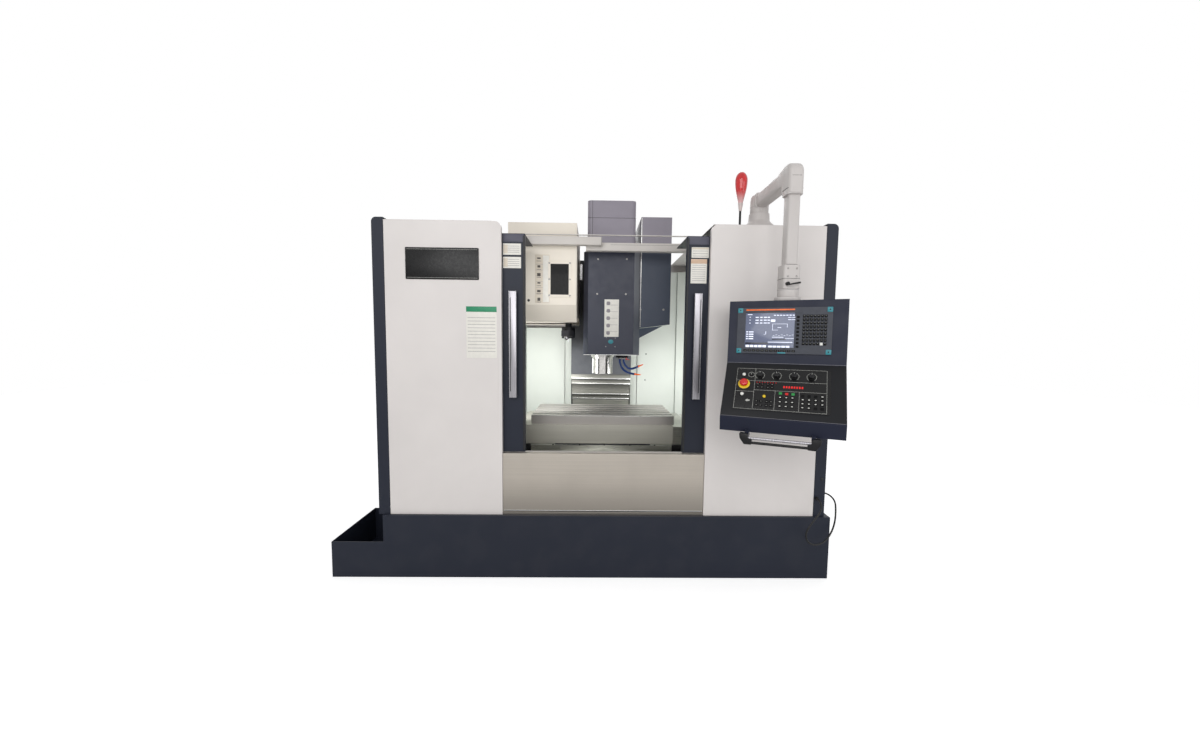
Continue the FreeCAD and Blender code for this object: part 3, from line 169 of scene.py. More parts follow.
def slab(width, height, low, high, radius=1.5, edge=.4):
    """A plate with rounded corners: its outline goes up and is drawn in by the edge's arc."""
    inset = np.array([0, 0, .3, 1]) * edge
    level = np.array([low, high - edge, high - .3 * edge, high])
    rings = [np.column_stack([outline(width - 2 * i, height - 2 * i, max(radius - i, .05)),
                              np.full(16, z)]) for i, z in zip(inset, level)]
    return lattice(rings)


def cutout(corners, low, high, edge=.6):
    """A plate of any outline between two levels. Over its edge the outline is drawn towards the
    middle by edge (1 - sin a) while the level moves by edge (1 - cos a)."""
    corners = np.asarray(corners, float)
    middle = (corners.max(0) + corners.min(0)) / 2
    reach = (corners.max(0) - corners.min(0)) / 2
    turn = np.linspace(0, np.pi / 2, 7 if edge > 5 else 3)
    inset = edge * np.concatenate([1 - np.sin(turn), 1 - np.sin(turn[::-1])])
    level = np.concatenate([low + edge * (1 - np.cos(turn)),
                            high - edge * (1 - np.cos(turn[::-1]))])
    rings = [np.column_stack([middle + (corners - middle) * (1 - i / reach),
                              np.full(len(corners), z)]) for i, z in zip(inset, level)]
    return lattice(rings)


def rounded(corners, steps=7):
    """An outline whose corners (u, v, radius) become arcs: each arc leaves its corner's two
    sides at radius / tan(half angle) and turns evenly about the arc's centre."""
    corners = np.asarray(corners, float)
    point, radius = corners[:, :2], corners[:, 2:]
    back, ahead = np.roll(point, 1, 0) - point, np.roll(point, -1, 0) - point
    back /= np.linalg.norm(back, axis=1, keepdims=True)
    ahead /= np.linalg.norm(ahead, axis=1, keepdims=True)
    half = np.arccos(np.clip((back * ahead).sum(1, keepdims=True), -1, 1)) / 2
    start, end = point + back * radius / np.tan(half), point + ahead * radius / np.tan(half)
    middle = back + ahead
    middle /= np.linalg.norm(middle, axis=1, keepdims=True)
    centre = point + middle * radius / np.sin(half)
    share = np.linspace(0, 1, steps)[None, :, None]
    spoke = (start - centre)[:, None] * (1 - share) + (end - centre)[:, None] * share
    spoke *= radius[:, None] / np.maximum(np.linalg.norm(spoke, axis=2, keepdims=True), 1e-9)
    return (centre[:, None] + spoke).reshape(-1, 2)


def spun(profile, sides=32):
    """A profile of (radius, height) turned about the third axis: r cos a, r sin a, height."""
    profile = np.asarray(profile, float)
    angle = np.linspace(0, 2 * np.pi, sides, endpoint=False)
    radius, height = profile[:, :1], profile[:, 1:]
    return lattice(np.stack([radius * np.cos(angle), radius * np.sin(angle),
                             height + 0 * angle], -1))


def swept(path, section, over=(0, 0, 1), swell=1.0):
    """A section carried along a path: path + u times the side + v times the upright.

    The side is the path's direction crossed with the over direction, and the upright is
    square to both. The swell is the section's size, for all of the path or point by point.
    """
    path = np.asarray(path, float)
    ahead = np.gradient(path, axis=0)
    ahead /= np.linalg.norm(ahead, axis=1, keepdims=True)
    side = np.cross(ahead, over)
    side /= np.linalg.norm(side, axis=1, keepdims=True)
    upright = np.cross(side, ahead)
    sizes = np.broadcast_to(swell, len(path))[:, None, None]
    section = np.asarray(section, float)[None] * sizes
    return lattice(path[:, None] + section[..., :1] * side[:, None]
                   + section[..., 1:] * upright[:, None])


def circle(radius, sides=12):
    """A round section: radius times the cosine and the sine of the angle."""
    angle = np.linspace(0, 2 * np.pi, sides, endpoint=False)
    return radius * np.column_stack([np.cos(angle), np.sin(angle)])


def turned_to(shape, way):
    """A shape whose third axis is turned to a direction."""
    points, faces = shape
    turn = np.array(Vector((0, 0, 1)).rotation_difference(Vector(way)).to_matrix())
    return points @ turn.T, faces


def run_past(corners, count):
    """Points along the straight runs from corner to corner: each coordinate is read off the
    corners' own at even steps from the first corner's number to the last one's."""
    corners = np.asarray(corners, float)
    steps = np.linspace(0, len(corners) - 1, count)
    numbers = np.arange(len(corners))
    return np.column_stack([np.interp(steps, numbers, column) for column in corners.T])


def grid(across, up):
    """Every pair of a place across and a place up."""
    u, v = np.meshgrid(np.asarray(across, float), np.asarray(up, float))
    return np.column_stack([u.ravel(), v.ravel()])


# ---------------------------------------------------------------- places on the machine

class Face:
    """A flat place on the machine, in millimetres: u across it, v up it and w out of it."""

    def __init__(self, origin=(0, 0, 0), across=(1, 0, 0), up=(0, 0, 1)):
        self.origin = np.asarray(origin, float)
        self.axes = np.stack([across, up, np.cross(across, up)])

    def at(self, shape, u=0, v=0, w=0):
        """The shape moved to a place on the face, in the frame's metres."""
        points, faces = shape
        return (self.origin + (points + (u, v, w)) @ self.axes) * MILLIMETRE, faces

    def each(self, shape, spots, w=0):
        """Copies of the shape at several places (u, v), all of them w out of the face."""
        return self.at(repeated(shape, np.column_stack([spots, np.full(len(spots), w)])))


# The support arm's post and tube as seen from above, and the turn of the box in degrees
POST = (965, 200)
TUBE = (965, -275)
BOX_TURN = -25


def box_face(y=0, z=0, lean=0):
    """A face of the control box, which is turned about the arm's tube and leans back."""
    turn = Matrix.Rotation(math.radians(BOX_TURN), 3, "Z")
    tilt = Matrix.Rotation(math.radians(-lean), 3, "X")
    origin = Vector((*TUBE, 0)) + turn @ Vector((0, y, z))
    return Face(origin, turn @ Vector((1, 0, 0)), turn @ tilt @ Vector((0, 0, 1)))


FRONT = Face()
RIGHT = Face(across=(0, 1, 0))
TOP = Face(up=(0, 1, 0))
SCREEN = box_face(-123, 1354, 5.73)
KEYS = box_face(-311, 1088, 35.25)
BOX = box_face()
BOX_TOP = Face(BOX.origin, BOX.axes[0], -BOX.axes[2])

# How far out of FRONT each of the machine's own surfaces stands
DOOR_LEVEL = -36
MAGAZINE_LEVEL = -460
HOOD_LEVEL = -570
FLANK_LEVEL = -620
SADDLE_LEVEL = -385.6

# How far out of KEYS the key panel stands, and how far its engraving reaches
PANEL_LEVEL = 4
ENGRAVED = (4.4, 4.75)


def corners_of(node):
    """The lowest and the highest corner of a node of the frame, in millimetres."""
    return [np.array(corner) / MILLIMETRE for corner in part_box(node)]


def piece(name, finish, body, *placed, angle=35):
    """A mesh of placed shapes with its finish, which moves with a body of the frame."""
    points, faces = joined(*placed)
    mesh = bpy.data.meshes.new(name)
    mesh.from_pydata(points.tolist(), [], faces)
    solid = bmesh.new()
    solid.from_mesh(mesh)
    bmesh.ops.recalc_face_normals(solid, faces=solid.faces)
    solid.to_mesh(mesh)
    solid.free()
    mesh.polygons.foreach_set("use_smooth", np.ones(len(mesh.polygons), bool))
    mesh.set_sharp_from_angle(angle=math.radians(angle))
    mesh.materials.append(bpy.data.materials[f"{finish}_finish"])
    made = bpy.data.objects.new(name, mesh)
    bpy.context.scene.collection.objects.link(made)
    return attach(made, body)


# ---------------------------------------------------------------- finishes

NODE_FINISH = {
    "apron": "apron_sheet", "head_covers": "head_paint", "magazine_cover": "magazine_paint",
    "change_arm": "gripper_dark", "z_cover_1": "z_sheet_1", "z_cover_2": "z_sheet_2",
    "z_cover_3": "z_sheet_3", "z_cover_4": "z_sheet_4", "table_skirt": "skirt_sheet",
    "magazine_window": "window_glass", "spindle_nose": "spindle_steel",
    "head_casting": "head_iron_painted_shade", "column": "column_iron_painted_shade", "y_cover_1": "ridge_sheet",
    "y_cover_2": "ridge_sheet", "y_cover_3": "ridge_sheet",
}


def linear(colour, factor=1.0):
    """A screen colour as light, times a factor: ((c + 0.055) / 1.055) to the power 2.4."""
    c = np.asarray(colour, float)
    light = np.where(c <= .04045, c / 12.92, ((c + .055) / 1.055) ** 2.4) * factor
    return (*np.clip(light, 0, 1).tolist(), 1.0)


def add_node(tree, kind, inputs=None, **settings):
    """A node with its settings; an input takes a value or another node's output."""
    made = tree.nodes.new(kind)
    for key, value in settings.items():
        setattr(made, key, value)
    for key, value in (inputs or {}).items():
        if isinstance(value, bpy.types.NodeSocket):
            tree.links.new(value, made.inputs[key])
        else:
            made.inputs[key].default_value = value
    return made


class Recipe:
    """The nodes of one material, from its pattern coordinates to its shader."""

    def __init__(self, name, **sockets):
        self.material = bpy.data.materials.new(f"{name}_finish")
        self.material.use_nodes = True
        self.tree = self.material.node_tree
        self.shader = self.tree.nodes["Principled BSDF"]
        for socket, value in sockets.items():
            self.shader.inputs[socket.replace("_", " ")].default_value = value
        self.place = self.add("ShaderNodeTexCoord").outputs["Object"]

    def add(self, kind, inputs=None, **settings):
        """A node of this material."""
        return add_node(self.tree, kind, inputs, **settings)

    def noise(self, scale, detail=3, stretch=(1, 1, 1)):
        """A cloud pattern on the piece's own coordinates, drawn out by the stretch."""
        place = self.add("ShaderNodeMapping", {"Vector": self.place, "Scale": stretch})
        return self.add("ShaderNodeTexNoise", {
            "Vector": place.outputs[0], "Scale": scale, "Detail": detail}).outputs[0]

    def spread(self, value, low=.3, high=.7, to_low=0, to_high=1):
        """The value's range from low to high laid over another range."""
        return self.add("ShaderNodeMapRange", {
            "Value": value, "From Min": low, "From Max": high, "To Min": to_low,
            "To Max": to_high}, interpolation_type="SMOOTHSTEP").outputs[0]

    def times(self, one, other):
        """Two values multiplied."""
        return self.add("ShaderNodeMath", {0: one, 1: other}, operation="MULTIPLY").outputs[0]

    def past(self, value, limit):
        """1 where the value is more than the limit, and 0 elsewhere."""
        return self.add("ShaderNodeMath", {0: value, 1: limit},
                        operation="GREATER_THAN").outputs[0]

    def mix(self, share, one, other):
        """A colour between two colours."""
        return self.add("ShaderNodeMix", {0: share, 6: one, 7: other},
                        data_type="RGBA").outputs[2]

    def shade(self, share, colour, low, high):
        """One colour, from its light times low to its light times high."""
        return self.mix(share, linear(colour, low), linear(colour, high))

    def height(self, axis="Z"):
        """One coordinate of the place on the piece, in metres."""
        return self.add("ShaderNodeSeparateXYZ", {0: self.place}).outputs[axis]

    def facing(self):
        """The three parts of the surface's direction."""
        normal = self.add("ShaderNodeNewGeometry").outputs["Normal"]
        return self.add("ShaderNodeSeparateXYZ", {0: normal}).outputs

    def soft_normal(self, radius):
        """The surface's direction as if its edges were rounded by the radius."""
        return self.add("ShaderNodeBevel", {"Radius": radius}, samples=4).outputs[0]

    def edge(self, radius):
        """Nearly 1 along outer and inner edges and 0 on flats: 1 less the cosine between the
        true normal and the normal rounded over the radius."""
        soft = self.soft_normal(radius)
        true = self.add("ShaderNodeNewGeometry").outputs["Normal"]
        cosine = self.add("ShaderNodeVectorMath", {0: soft, 1: true},
                          operation="DOT_PRODUCT").outputs["Value"]
        return self.spread(cosine, .995, .80)

    def wear_and_highlight(self, colours, radius, share, pale_edge):
        """The colours with a share of a paler colour along edges of the radius: partly edge wear,
        partly a painted highlight where light catches the edges.
        """
        return self.mix(self.times(self.edge(radius), share), colours, linear(pale_edge))

    def bump(self, value, strength, distance, radius=.0015):
        """Relief from a pattern, over edges that are softened by the radius."""
        return self.add("ShaderNodeBump", {
            "Strength": strength, "Distance": distance, "Height": value,
            "Normal": self.soft_normal(radius)}).outputs[0]

    def finish(self, colour=None, roughness=None, normal=None):
        """Joins the patterns to the shader."""
        for socket, value in (("Base Color", colour), ("Roughness", roughness),
                              ("Normal", normal)):
            if value is not None:
                self.tree.links.new(value, self.shader.inputs[socket])
        return self.material


DUST = (.55, .53, .50)


def coat(name, colour, roughness=.40, wear=.25, dust=0.0, level=.30, uneven=.06):
    """Powder coat: slow drift of tone, fine peel, paler edges and a little dust near the floor.
    uneven is how far the roughness strays, in patches of a hand's width."""
    recipe = Recipe(name, Specular_IOR_Level=level)
    colours = recipe.shade(recipe.spread(recipe.noise(1.7, 4)), colour, .955, 1.03)
    pale = np.clip(np.asarray(colour) * .8 + .22, 0, 1)
    # Paler edges: partly wear, partly painted highlight.
    colours = recipe.wear_and_highlight(colours, .0022, wear, pale)
    low = recipe.spread(recipe.height(), .9, .02, 0, dust)
    patch = recipe.spread(recipe.noise(7, 6), .42, .68)
    colours = recipe.mix(recipe.times(low, patch), colours, linear(DUST))
    rough = recipe.spread(recipe.noise(9, 3), to_low=roughness - uneven,
                          to_high=roughness + uneven)
    return recipe.finish(colours, rough, recipe.bump(recipe.noise(900, 2), .16, .0003))


def brushed(name, colour, stretch, roughness=.34, relief=.10, painted_shade=None, contrast=.10,
            metal=.85):
    """Brushed sheet: streaks drawn out along one axis, cloudy wear, and, where its heights are
    given, one end darker as painted shade: the heights of the dark and the bright end and the
    share of light at the dark."""
    recipe = Recipe(name, Metallic=metal, Anisotropic=.40)
    streak = recipe.noise(1, 6, stretch)
    colours = recipe.shade(recipe.spread(streak), colour, 1 - contrast, 1 + contrast)
    smear = recipe.spread(recipe.noise(3.5, 5), .40, .75, 0, .30)
    colours = recipe.mix(smear, colours, linear(colour, .76))
    # Painted shade: the sheet darkens towards one end, between the two heights given.
    if painted_shade:
        dark, bright, share = painted_shade
        low = recipe.spread(recipe.height(), dark, bright, 1, 0)
        colours = recipe.mix(recipe.times(low, .85), colours, linear(colour, share))
    # Paler edges: partly wear, partly painted highlight.
    colours = recipe.wear_and_highlight(colours, .0018, .55, (.90, .90, .89))
    rough = recipe.spread(streak, to_low=roughness - .05, to_high=roughness + .07)
    return recipe.finish(colours, rough, recipe.bump(streak, relief, .0003))


def ground(name, colour, scale=240, roughness=.30, stain=.3, metal=.95, flank=1.0,
           slot_shade=None):
    """Ground steel: fine crossed scratches and faint oily patches. Where the slots' places are
    given, the upright faces, which are only machined, keep the flank's share of the light, partly
    as painted shade, and the slots' walls and floors, behind the first place and below the
    second, are painted dark: painted shade in the slots."""
    recipe = Recipe(name, Metallic=metal)
    scratch = recipe.times(recipe.noise(1, 4, (scale, scale * .06, scale)),
                           recipe.noise(1, 4, (scale * .06, scale, scale)))
    colours = recipe.shade(recipe.spread(scratch, .15, .38), colour, .82, 1.12)
    patch = recipe.spread(recipe.noise(9, 5), .48, .75, 0, stain)
    colours = recipe.mix(patch, colours, linear(np.asarray(colour) * (.72, .68, .60)))
    if slot_shade:
        behind, below = slot_shade
        facing = recipe.facing()
        # Painted shade, in part: the upright faces are darker by the flank's share.
        upright = recipe.spread(facing["Z"], .9, .3)
        colours = recipe.mix(upright, colours, linear(colour, flank))
        # Painted shade: the slots' floors are drawn dark.
        floors = recipe.times(recipe.spread(recipe.height(), below, below - .002, 0, .9),
                              recipe.spread(facing["Z"], .5, .9))
        colours = recipe.mix(floors, colours, linear(colour, .10))
        # Painted shade: the slots' walls are drawn dark.
        walls = recipe.times(recipe.spread(recipe.height("Y"), behind, behind + .01, 0, .9),
                             recipe.spread(facing["Y"], -.5, -.9))
        colours = recipe.mix(walls, colours, linear(colour, .06))
    # Paler edges: partly wear, partly painted highlight.
    colours = recipe.wear_and_highlight(colours, .0012, .6, (.93, .93, .93))
    rough = recipe.spread(scratch, .12, .40, roughness - .06, roughness + .14)
    return recipe.finish(colours, rough, recipe.bump(scratch, .12, .0002, .0008))


def cast(name, colour, roughness=.55, metal=0.0, painted_shade=None):
    """Painted casting: coarse sand relief under the coat, and one end darker as painted shade,
    as in brushed.
    """
    recipe = Recipe(name, Metallic=metal, Specular_IOR_Level=.3)
    colours = recipe.shade(recipe.spread(recipe.noise(4, 5)), colour, .80, 1.10)
    # Paler edges: partly wear, partly painted highlight.
    colours = recipe.wear_and_highlight(colours, .003, .3, (.50, .50, .50))
    # Painted shade: the casting darkens towards one end, between the two heights given.
    if painted_shade:
        dark, bright, share = painted_shade
        end = recipe.spread(recipe.height(), dark, bright, 1, 0)
        colours = recipe.mix(recipe.times(end, .95), colours, linear(colour, share))
    rough = recipe.spread(recipe.noise(30, 3), to_low=roughness - .1, to_high=roughness + .12)
    return recipe.finish(colours, rough, recipe.bump(recipe.noise(170, 5), .35, .0009, .003))


def moulded(name, colour, roughness=.38, grain=1500, relief=.12, shift=.06, **sockets):
    """Moulded plastic, paper or rubber: fine grain and a slight drift of tone."""
    recipe = Recipe(name, **sockets)
    cloud = recipe.spread(recipe.noise(38, 4))
    rough = recipe.spread(recipe.noise(90, 3), to_low=roughness - .05, to_high=roughness + .07)
    return recipe.finish(recipe.shade(cloud, colour, 1 - shift, 1 + shift), rough,
                         recipe.bump(recipe.noise(grain, 2), relief, .0002, .0006))


def lit(name, colour, strength, rows=900):
    """A lit display: its glow is crossed by the fine rows of its picture points."""
    recipe = Recipe(name, Roughness=.12, Emission_Strength=strength)
    row = recipe.noise(1, 1, (rows * .15, rows * .15, rows))
    glow = recipe.shade(recipe.spread(row, .35, .65), colour, .88, 1.06)
    recipe.tree.links.new(glow, recipe.shader.inputs["Emission Color"])
    return recipe.finish(recipe.mix(.5, linear((.02, .02, .03)), glow))


def glazing(name, colour, alpha, roughness=.03, level=.6):
    """A clear pane with a faint tint and the smear of wiped coolant in its gloss."""
    recipe = Recipe(name, IOR=1.46, Alpha=alpha, Specular_IOR_Level=level)
    smear = recipe.noise(1, 4, (9, 9, 60))
    rough = recipe.spread(smear, .45, .8, roughness, roughness + .12)
    return recipe.finish(recipe.shade(recipe.spread(smear), colour, .9, 1), rough)


def lens(name, colour, clear, low, high):
    """A glossy lens, pale pink at its foot and fully coloured above the height high: the pale
    foot is a painted highlight of light through the lens.
    """
    recipe = Recipe(name, Coat_Weight=.35, Coat_Roughness=.05, IOR=1.5)
    deep = recipe.spread(recipe.height(), low, high)
    ripple = recipe.spread(recipe.noise(1, 2, (60, 60, 8)))
    # Painted highlight: the lens's foot is pale pink below the height low.
    colours = recipe.mix(deep, linear(clear), recipe.shade(ripple, colour, .80, 1.1))
    rough = recipe.spread(recipe.noise(40, 2), to_low=.07, to_high=.14)
    return recipe.finish(colours, rough)


def fluted_steel(name, colour, centre, radius):
    """Satin steel round an upright axis: darker where the distance from the axis is less than
    the radius, so in the flutes, as painted shade, and bright on the lands between them."""
    recipe = Recipe(name, Metallic=.92)
    apart = recipe.add("ShaderNodeMapping", {"Vector": recipe.place,
                                             "Location": (-centre[0], -centre[1], 0),
                                             "Scale": (1, 1, 0)}).outputs[0]
    distance = recipe.add("ShaderNodeVectorMath", {0: apart}, operation="LENGTH")
    # Painted shade: the flutes are drawn darker than the lands.
    flute_shade = recipe.spread(distance.outputs["Value"], radius - .0006, radius - .004, 0, .85)
    turning = recipe.noise(1, 4, (40, 40, 700))
    colours = recipe.shade(recipe.spread(turning), colour, .86, 1.12)
    colours = recipe.mix(flute_shade, colours, linear(colour, .22))
    rough = recipe.spread(turning, to_low=.22, to_high=.34)
    return recipe.finish(colours, rough, recipe.bump(turning, .12, .0002, .001))


def head_coat(name, front, hood, flank, top, side):
    """The head's covers: a dark front hood, a grey motor hood above the height top, and a
    bluish box beyond the place side. The motor hood has the front hood's coat: its grey, which
    also covers the box above the height top, is painted light, the glare on the head's top. The
    front hood's right-facing side pales upward, a painted reflection of the cabin's light, and
    the box's pale underside is painted light as well."""
    recipe = Recipe(name, Specular_IOR_Level=.30)
    facing = recipe.facing()
    drift = recipe.spread(recipe.noise(2.2, 4))
    # Painted reflection: the front hood's right-facing side pales upward with the cabin's light.
    cheek_reflection = recipe.mix(recipe.spread(recipe.height(), 1.50, 1.85), linear((.48, .50, .53)),
                       linear((.94, .95, .97)))
    colours = recipe.mix(recipe.spread(facing["X"], .7, .9),
                         recipe.shade(drift, front, .93, 1.05), cheek_reflection)
    # Painted light: the side box's downward faces are pale grey-green, its lit underside.
    bluish = recipe.mix(recipe.spread(facing["Z"], -.3, -.6),
                        recipe.shade(drift, flank, .93, 1.05), linear((.60, .63, .60)))
    colours = recipe.mix(recipe.past(recipe.height("X"), side), colours, bluish)
    # Painted light: above the height top the covers turn grey, the glare on the head's top.
    colours = recipe.mix(recipe.past(recipe.height(), top), colours,
                         recipe.shade(drift, hood, .9, 1.06))
    # Paler edges: partly wear, partly painted highlight.
    colours = recipe.wear_and_highlight(colours, .003, .32, (.52, .53, .57))
    rough = recipe.spread(recipe.noise(24, 4), to_low=.34, to_high=.47)
    return recipe.finish(colours, rough, recipe.bump(recipe.noise(900, 2), .15, .0003, .003))


# Places in metres where a finish changes. Above the motor hood's foot the grey is painted
# light; the head's iron, the apron and the Z covers darken between their two heights as painted
# shade; the spindle's flutes and the table's slots hold painted shade; and below the first of the
# lens's two heights its foot is pale, a painted highlight.
MOTOR_HOOD_FOOT = 2.1004
FLANK_BOX_SIDE = .2674
HEAD_IRON_PAINTED_SHADE = (1.50, 1.32)
APRON_PAINTED_SHADE = (.39, .66)
Z_COVER_PAINTED_SHADES = ((1.175, 1.115), (1.109, 1.068), (1.063, .975), (.967, .930))
SPINDLE_AXIS = (0, .800)
SPINDLE_LANDS = .0795
TABLE_SLOTS = (.44, .9355)
LENS_PAINTED_HIGHLIGHT = (2.335, 2.415)

# How brushing is drawn out along X, Y and Z
ACROSS_FINE, ACROSS_BROAD = (2.5, 300, 260), (2.5, 60, 330)


def mix_finishes(c):
    """Every finish of the machine, from the colours that the user has set."""
    coat("panel_paint", c.panels, .42, wear=.12, dust=.05)
    coat("dark_paint", c.dark, .39, dust=.015, level=.22, uneven=.015)
    coat("cabin_paint", c.cabin, .45, wear=.05)
    coat("arm_paint", c.arm, wear=.15)
    coat("box_paint", c.box, .36, level=.18)
    coat("slope_paint", (.105, .108, .12), .38, level=.18)
    coat("band_paint", (.34, .34, .39), level=.22)
    coat("beam_paint", (.79, .77, .75), wear=.15)
    coat("magazine_paint", c.magazine, .44, wear=.15)
    head_coat("head_paint", c.head, c.hood, c.flank, MOTOR_HOOD_FOOT, FLANK_BOX_SIDE)
    # Painted shade: the apron darkens towards the floor.
    brushed("apron_sheet", c.apron, (1.6, 60, 520), .36, painted_shade=(*APRON_PAINTED_SHADE, .56),
            contrast=.05)
    brushed("ridge_sheet", (.20, .20, .19), ACROSS_FINE, .38, contrast=.06, metal=.5)
    brushed("brushed_sheet", c.covers, ACROSS_FINE, .32)
    brushed("skirt_sheet", (.74, .73, .69), ACROSS_BROAD, .42, contrast=.04, metal=.45)
    # Painted shade: each Z cover section darkens towards its top, the shade under the lip above.
    for number, ends in enumerate(Z_COVER_PAINTED_SHADES, start=1):
        brushed(f"z_sheet_{number}", (.60, .60, .57), ACROSS_BROAD, .30, painted_shade=(*ends, .16),
                contrast=.07)
    brushed("pale_trim", (.84, .84, .83), (3, 200, 200), .28)
    brushed("handle_steel", (.66, .65, .67), (300, 300, 2.5), .30, relief=.06, metal=.7)
    ground("ground_steel", (.62, .61, .60), 260, .32)
    ground("bright_steel", c.steel, 420, .20, stain=.15)
    ground("nose_steel", c.nose, 300, .30, stain=.22)
    # Painted shade in the spindle nose's flutes.
    fluted_steel("spindle_steel", c.nose, SPINDLE_AXIS, SPINDLE_LANDS)
    # Painted shade on the table: darker upright faces and dark slots.
    ground("table_iron", c.table, 210, .34, metal=.60, flank=.62, slot_shade=TABLE_SLOTS)
    cast("bed_iron", c.iron)
    # Painted shade: the head's iron darkens upward, the shade in the gap beside the magazine.
    cast("head_iron_painted_shade", c.iron, painted_shade=(*HEAD_IRON_PAINTED_SHADE, .10))
    # Painted shade: the column is the castings' paint drawn much darker, the shade behind the
    # head.
    cast("column_iron_painted_shade", (.17, .175, .185))
    cast("dark_metal", (.13, .13, .14), .5, .3)
    cast("gripper_dark", (.20, .20, .21), .42, .6)
    # Painted highlight: the signal lamp's lens is pale at its foot.
    lens("lamp_red", c.lamp, (.90, .72, .72), *LENS_PAINTED_HIGHLIGHT)
    moulded("lamp_socket", (.84, .78, .77), .32)
    glazing("pane_glass", (.72, .78, .78), .32)
    glazing("window_glass", (.012, .012, .014), .90, .10, .12)
    moulded("screen_plastic", (.27, .28, .31), .42, Specular_IOR_Level=.18)
    moulded("hose_plastic", c.hose, .33)
    moulded("tip_orange", c.orange, .36)
    moulded("button_red", (.78, .05, .04), .22, Coat_Weight=.4, Coat_Roughness=.08)
    moulded("button_white", (.90, .90, .88), .28, Coat_Weight=.3, Coat_Roughness=.10)
    moulded("knob_black", c.knob, .40, Specular_IOR_Level=.30)
    moulded("cord_rubber", (.055, .055, .06), .52, grain=2200, relief=.25)
    moulded("wiper", (.10, .10, .11), .55)
    moulded("paper", (.90, .89, .86), .50, relief=.05, shift=.03)
    moulded("paper_band", (.82, .70, .60), .45, relief=.05)
    moulded("paper_beige", (.84, .80, .74), .50, relief=.05, shift=.03)
    moulded("paper_dark", (.30, .28, .26), .50, relief=.05)
    moulded("paper_green", (.10, .52, .36), .42, relief=.05)
    moulded("paper_mark", (.56, .54, .56), .50, relief=.05)
    moulded("seam", (.11, .11, .12), .6)
    moulded("gloss_black", (.04, .04, .045), .30, relief=.03, Specular_IOR_Level=.3)
    moulded("teal", c.teal, .35)
    moulded("key_plastic", (.03, .03, .036), .45, Specular_IOR_Level=.12)
    moulded("fold_grey", (.40, .40, .43), .45)
    moulded("key_pale", (.86, .86, .84), .35)
    moulded("key_green", (.12, .55, .25), .35)
    moulded("key_yellow", (.92, .78, .12), .35)
    moulded("key_red", (.80, .10, .08), .35)
    moulded("engraving", (.72, .72, .70), .5, relief=.05)
    lit("screen_lit", c.screen, .55)
    lit("screen_pale", (.86, .88, .95), 1.0)
    lit("screen_dark", (.10, .12, .20), .3)
    lit("display_red", (.90, .08, .06), .7)


# ---------------------------------------------------------------- operators

# The place in metres, the turns to the right, down and about the view in degrees, and the
# lens in millimetres
CAMERA_PLACE = (-.0715, -2.6767, 1.4711)
CAMERA_TURN = (.896, 4.579, -.663)
CAMERA_LENS = 13.41


class MACHINE_OT_camera(bpy.types.Operator):
    """Put the camera where the operator's side was photographed: turn 0.9 degrees to the
    right, tilt 4.6 degrees down and roll a little"""
    bl_idname = "machine.camera"
    bl_label = "Camera"

    def execute(self, context):
        yaw, pitch, roll = (math.radians(angle) for angle in CAMERA_TURN)
        ahead = Vector((math.cos(pitch) * math.sin(yaw), math.cos(pitch) * math.cos(yaw),
                        -math.sin(pitch)))
        level = Vector((math.cos(yaw), -math.sin(yaw), 0))
        upright = level.cross(ahead)
        right = math.cos(roll) * level - math.sin(roll) * upright
        up = math.sin(roll) * level + math.cos(roll) * upright
        optics = bpy.data.cameras.new("camera")
        optics.lens = CAMERA_LENS
        optics.sensor_width = 36
        camera = bpy.data.objects.new("camera", optics)
        context.scene.collection.objects.link(camera)
        turn = Matrix((right, up, -ahead)).transposed().to_4x4()
        camera.matrix_world = Matrix.Translation(CAMERA_PLACE) @ turn
        context.scene.camera = camera
        return {"FINISHED"}


class MACHINE_OT_finishes(bpy.types.Operator):
    """Mix every finish and give each node of the frame its own"""
    bl_idname = "machine.finishes"
    bl_label = "Finishes"

    def execute(self, context):
        mix_finishes(context.scene.machine_colours)
        for part in frame["record"]["subparts"]:
            finish = NODE_FINISH.get(part["node"], part["material_slot"])
            for slot in frame["nodes"][part["node"]].material_slots:
                slot.material = bpy.data.materials[f"{finish}_finish"]
        return {"FINISHED"}


# In metres, from the front gland round to the side gland
LEAD_ROUTE = (
    (1.318, -.010, .505), (1.318, -.059, .505), (1.302, -.102, .464), (1.250, -.108, .400),
    (1.210, -.102, .332), (1.226, -.095, .268), (1.280, -.088, .243), (1.342, -.080, .262),
    (1.390, -.062, .314), (1.426, -.030, .368), (1.452, .014, .422), (1.474, .064, .462),
    (1.466, .114, .486), (1.428, .142, .496), (1.380, .142, .496),
)


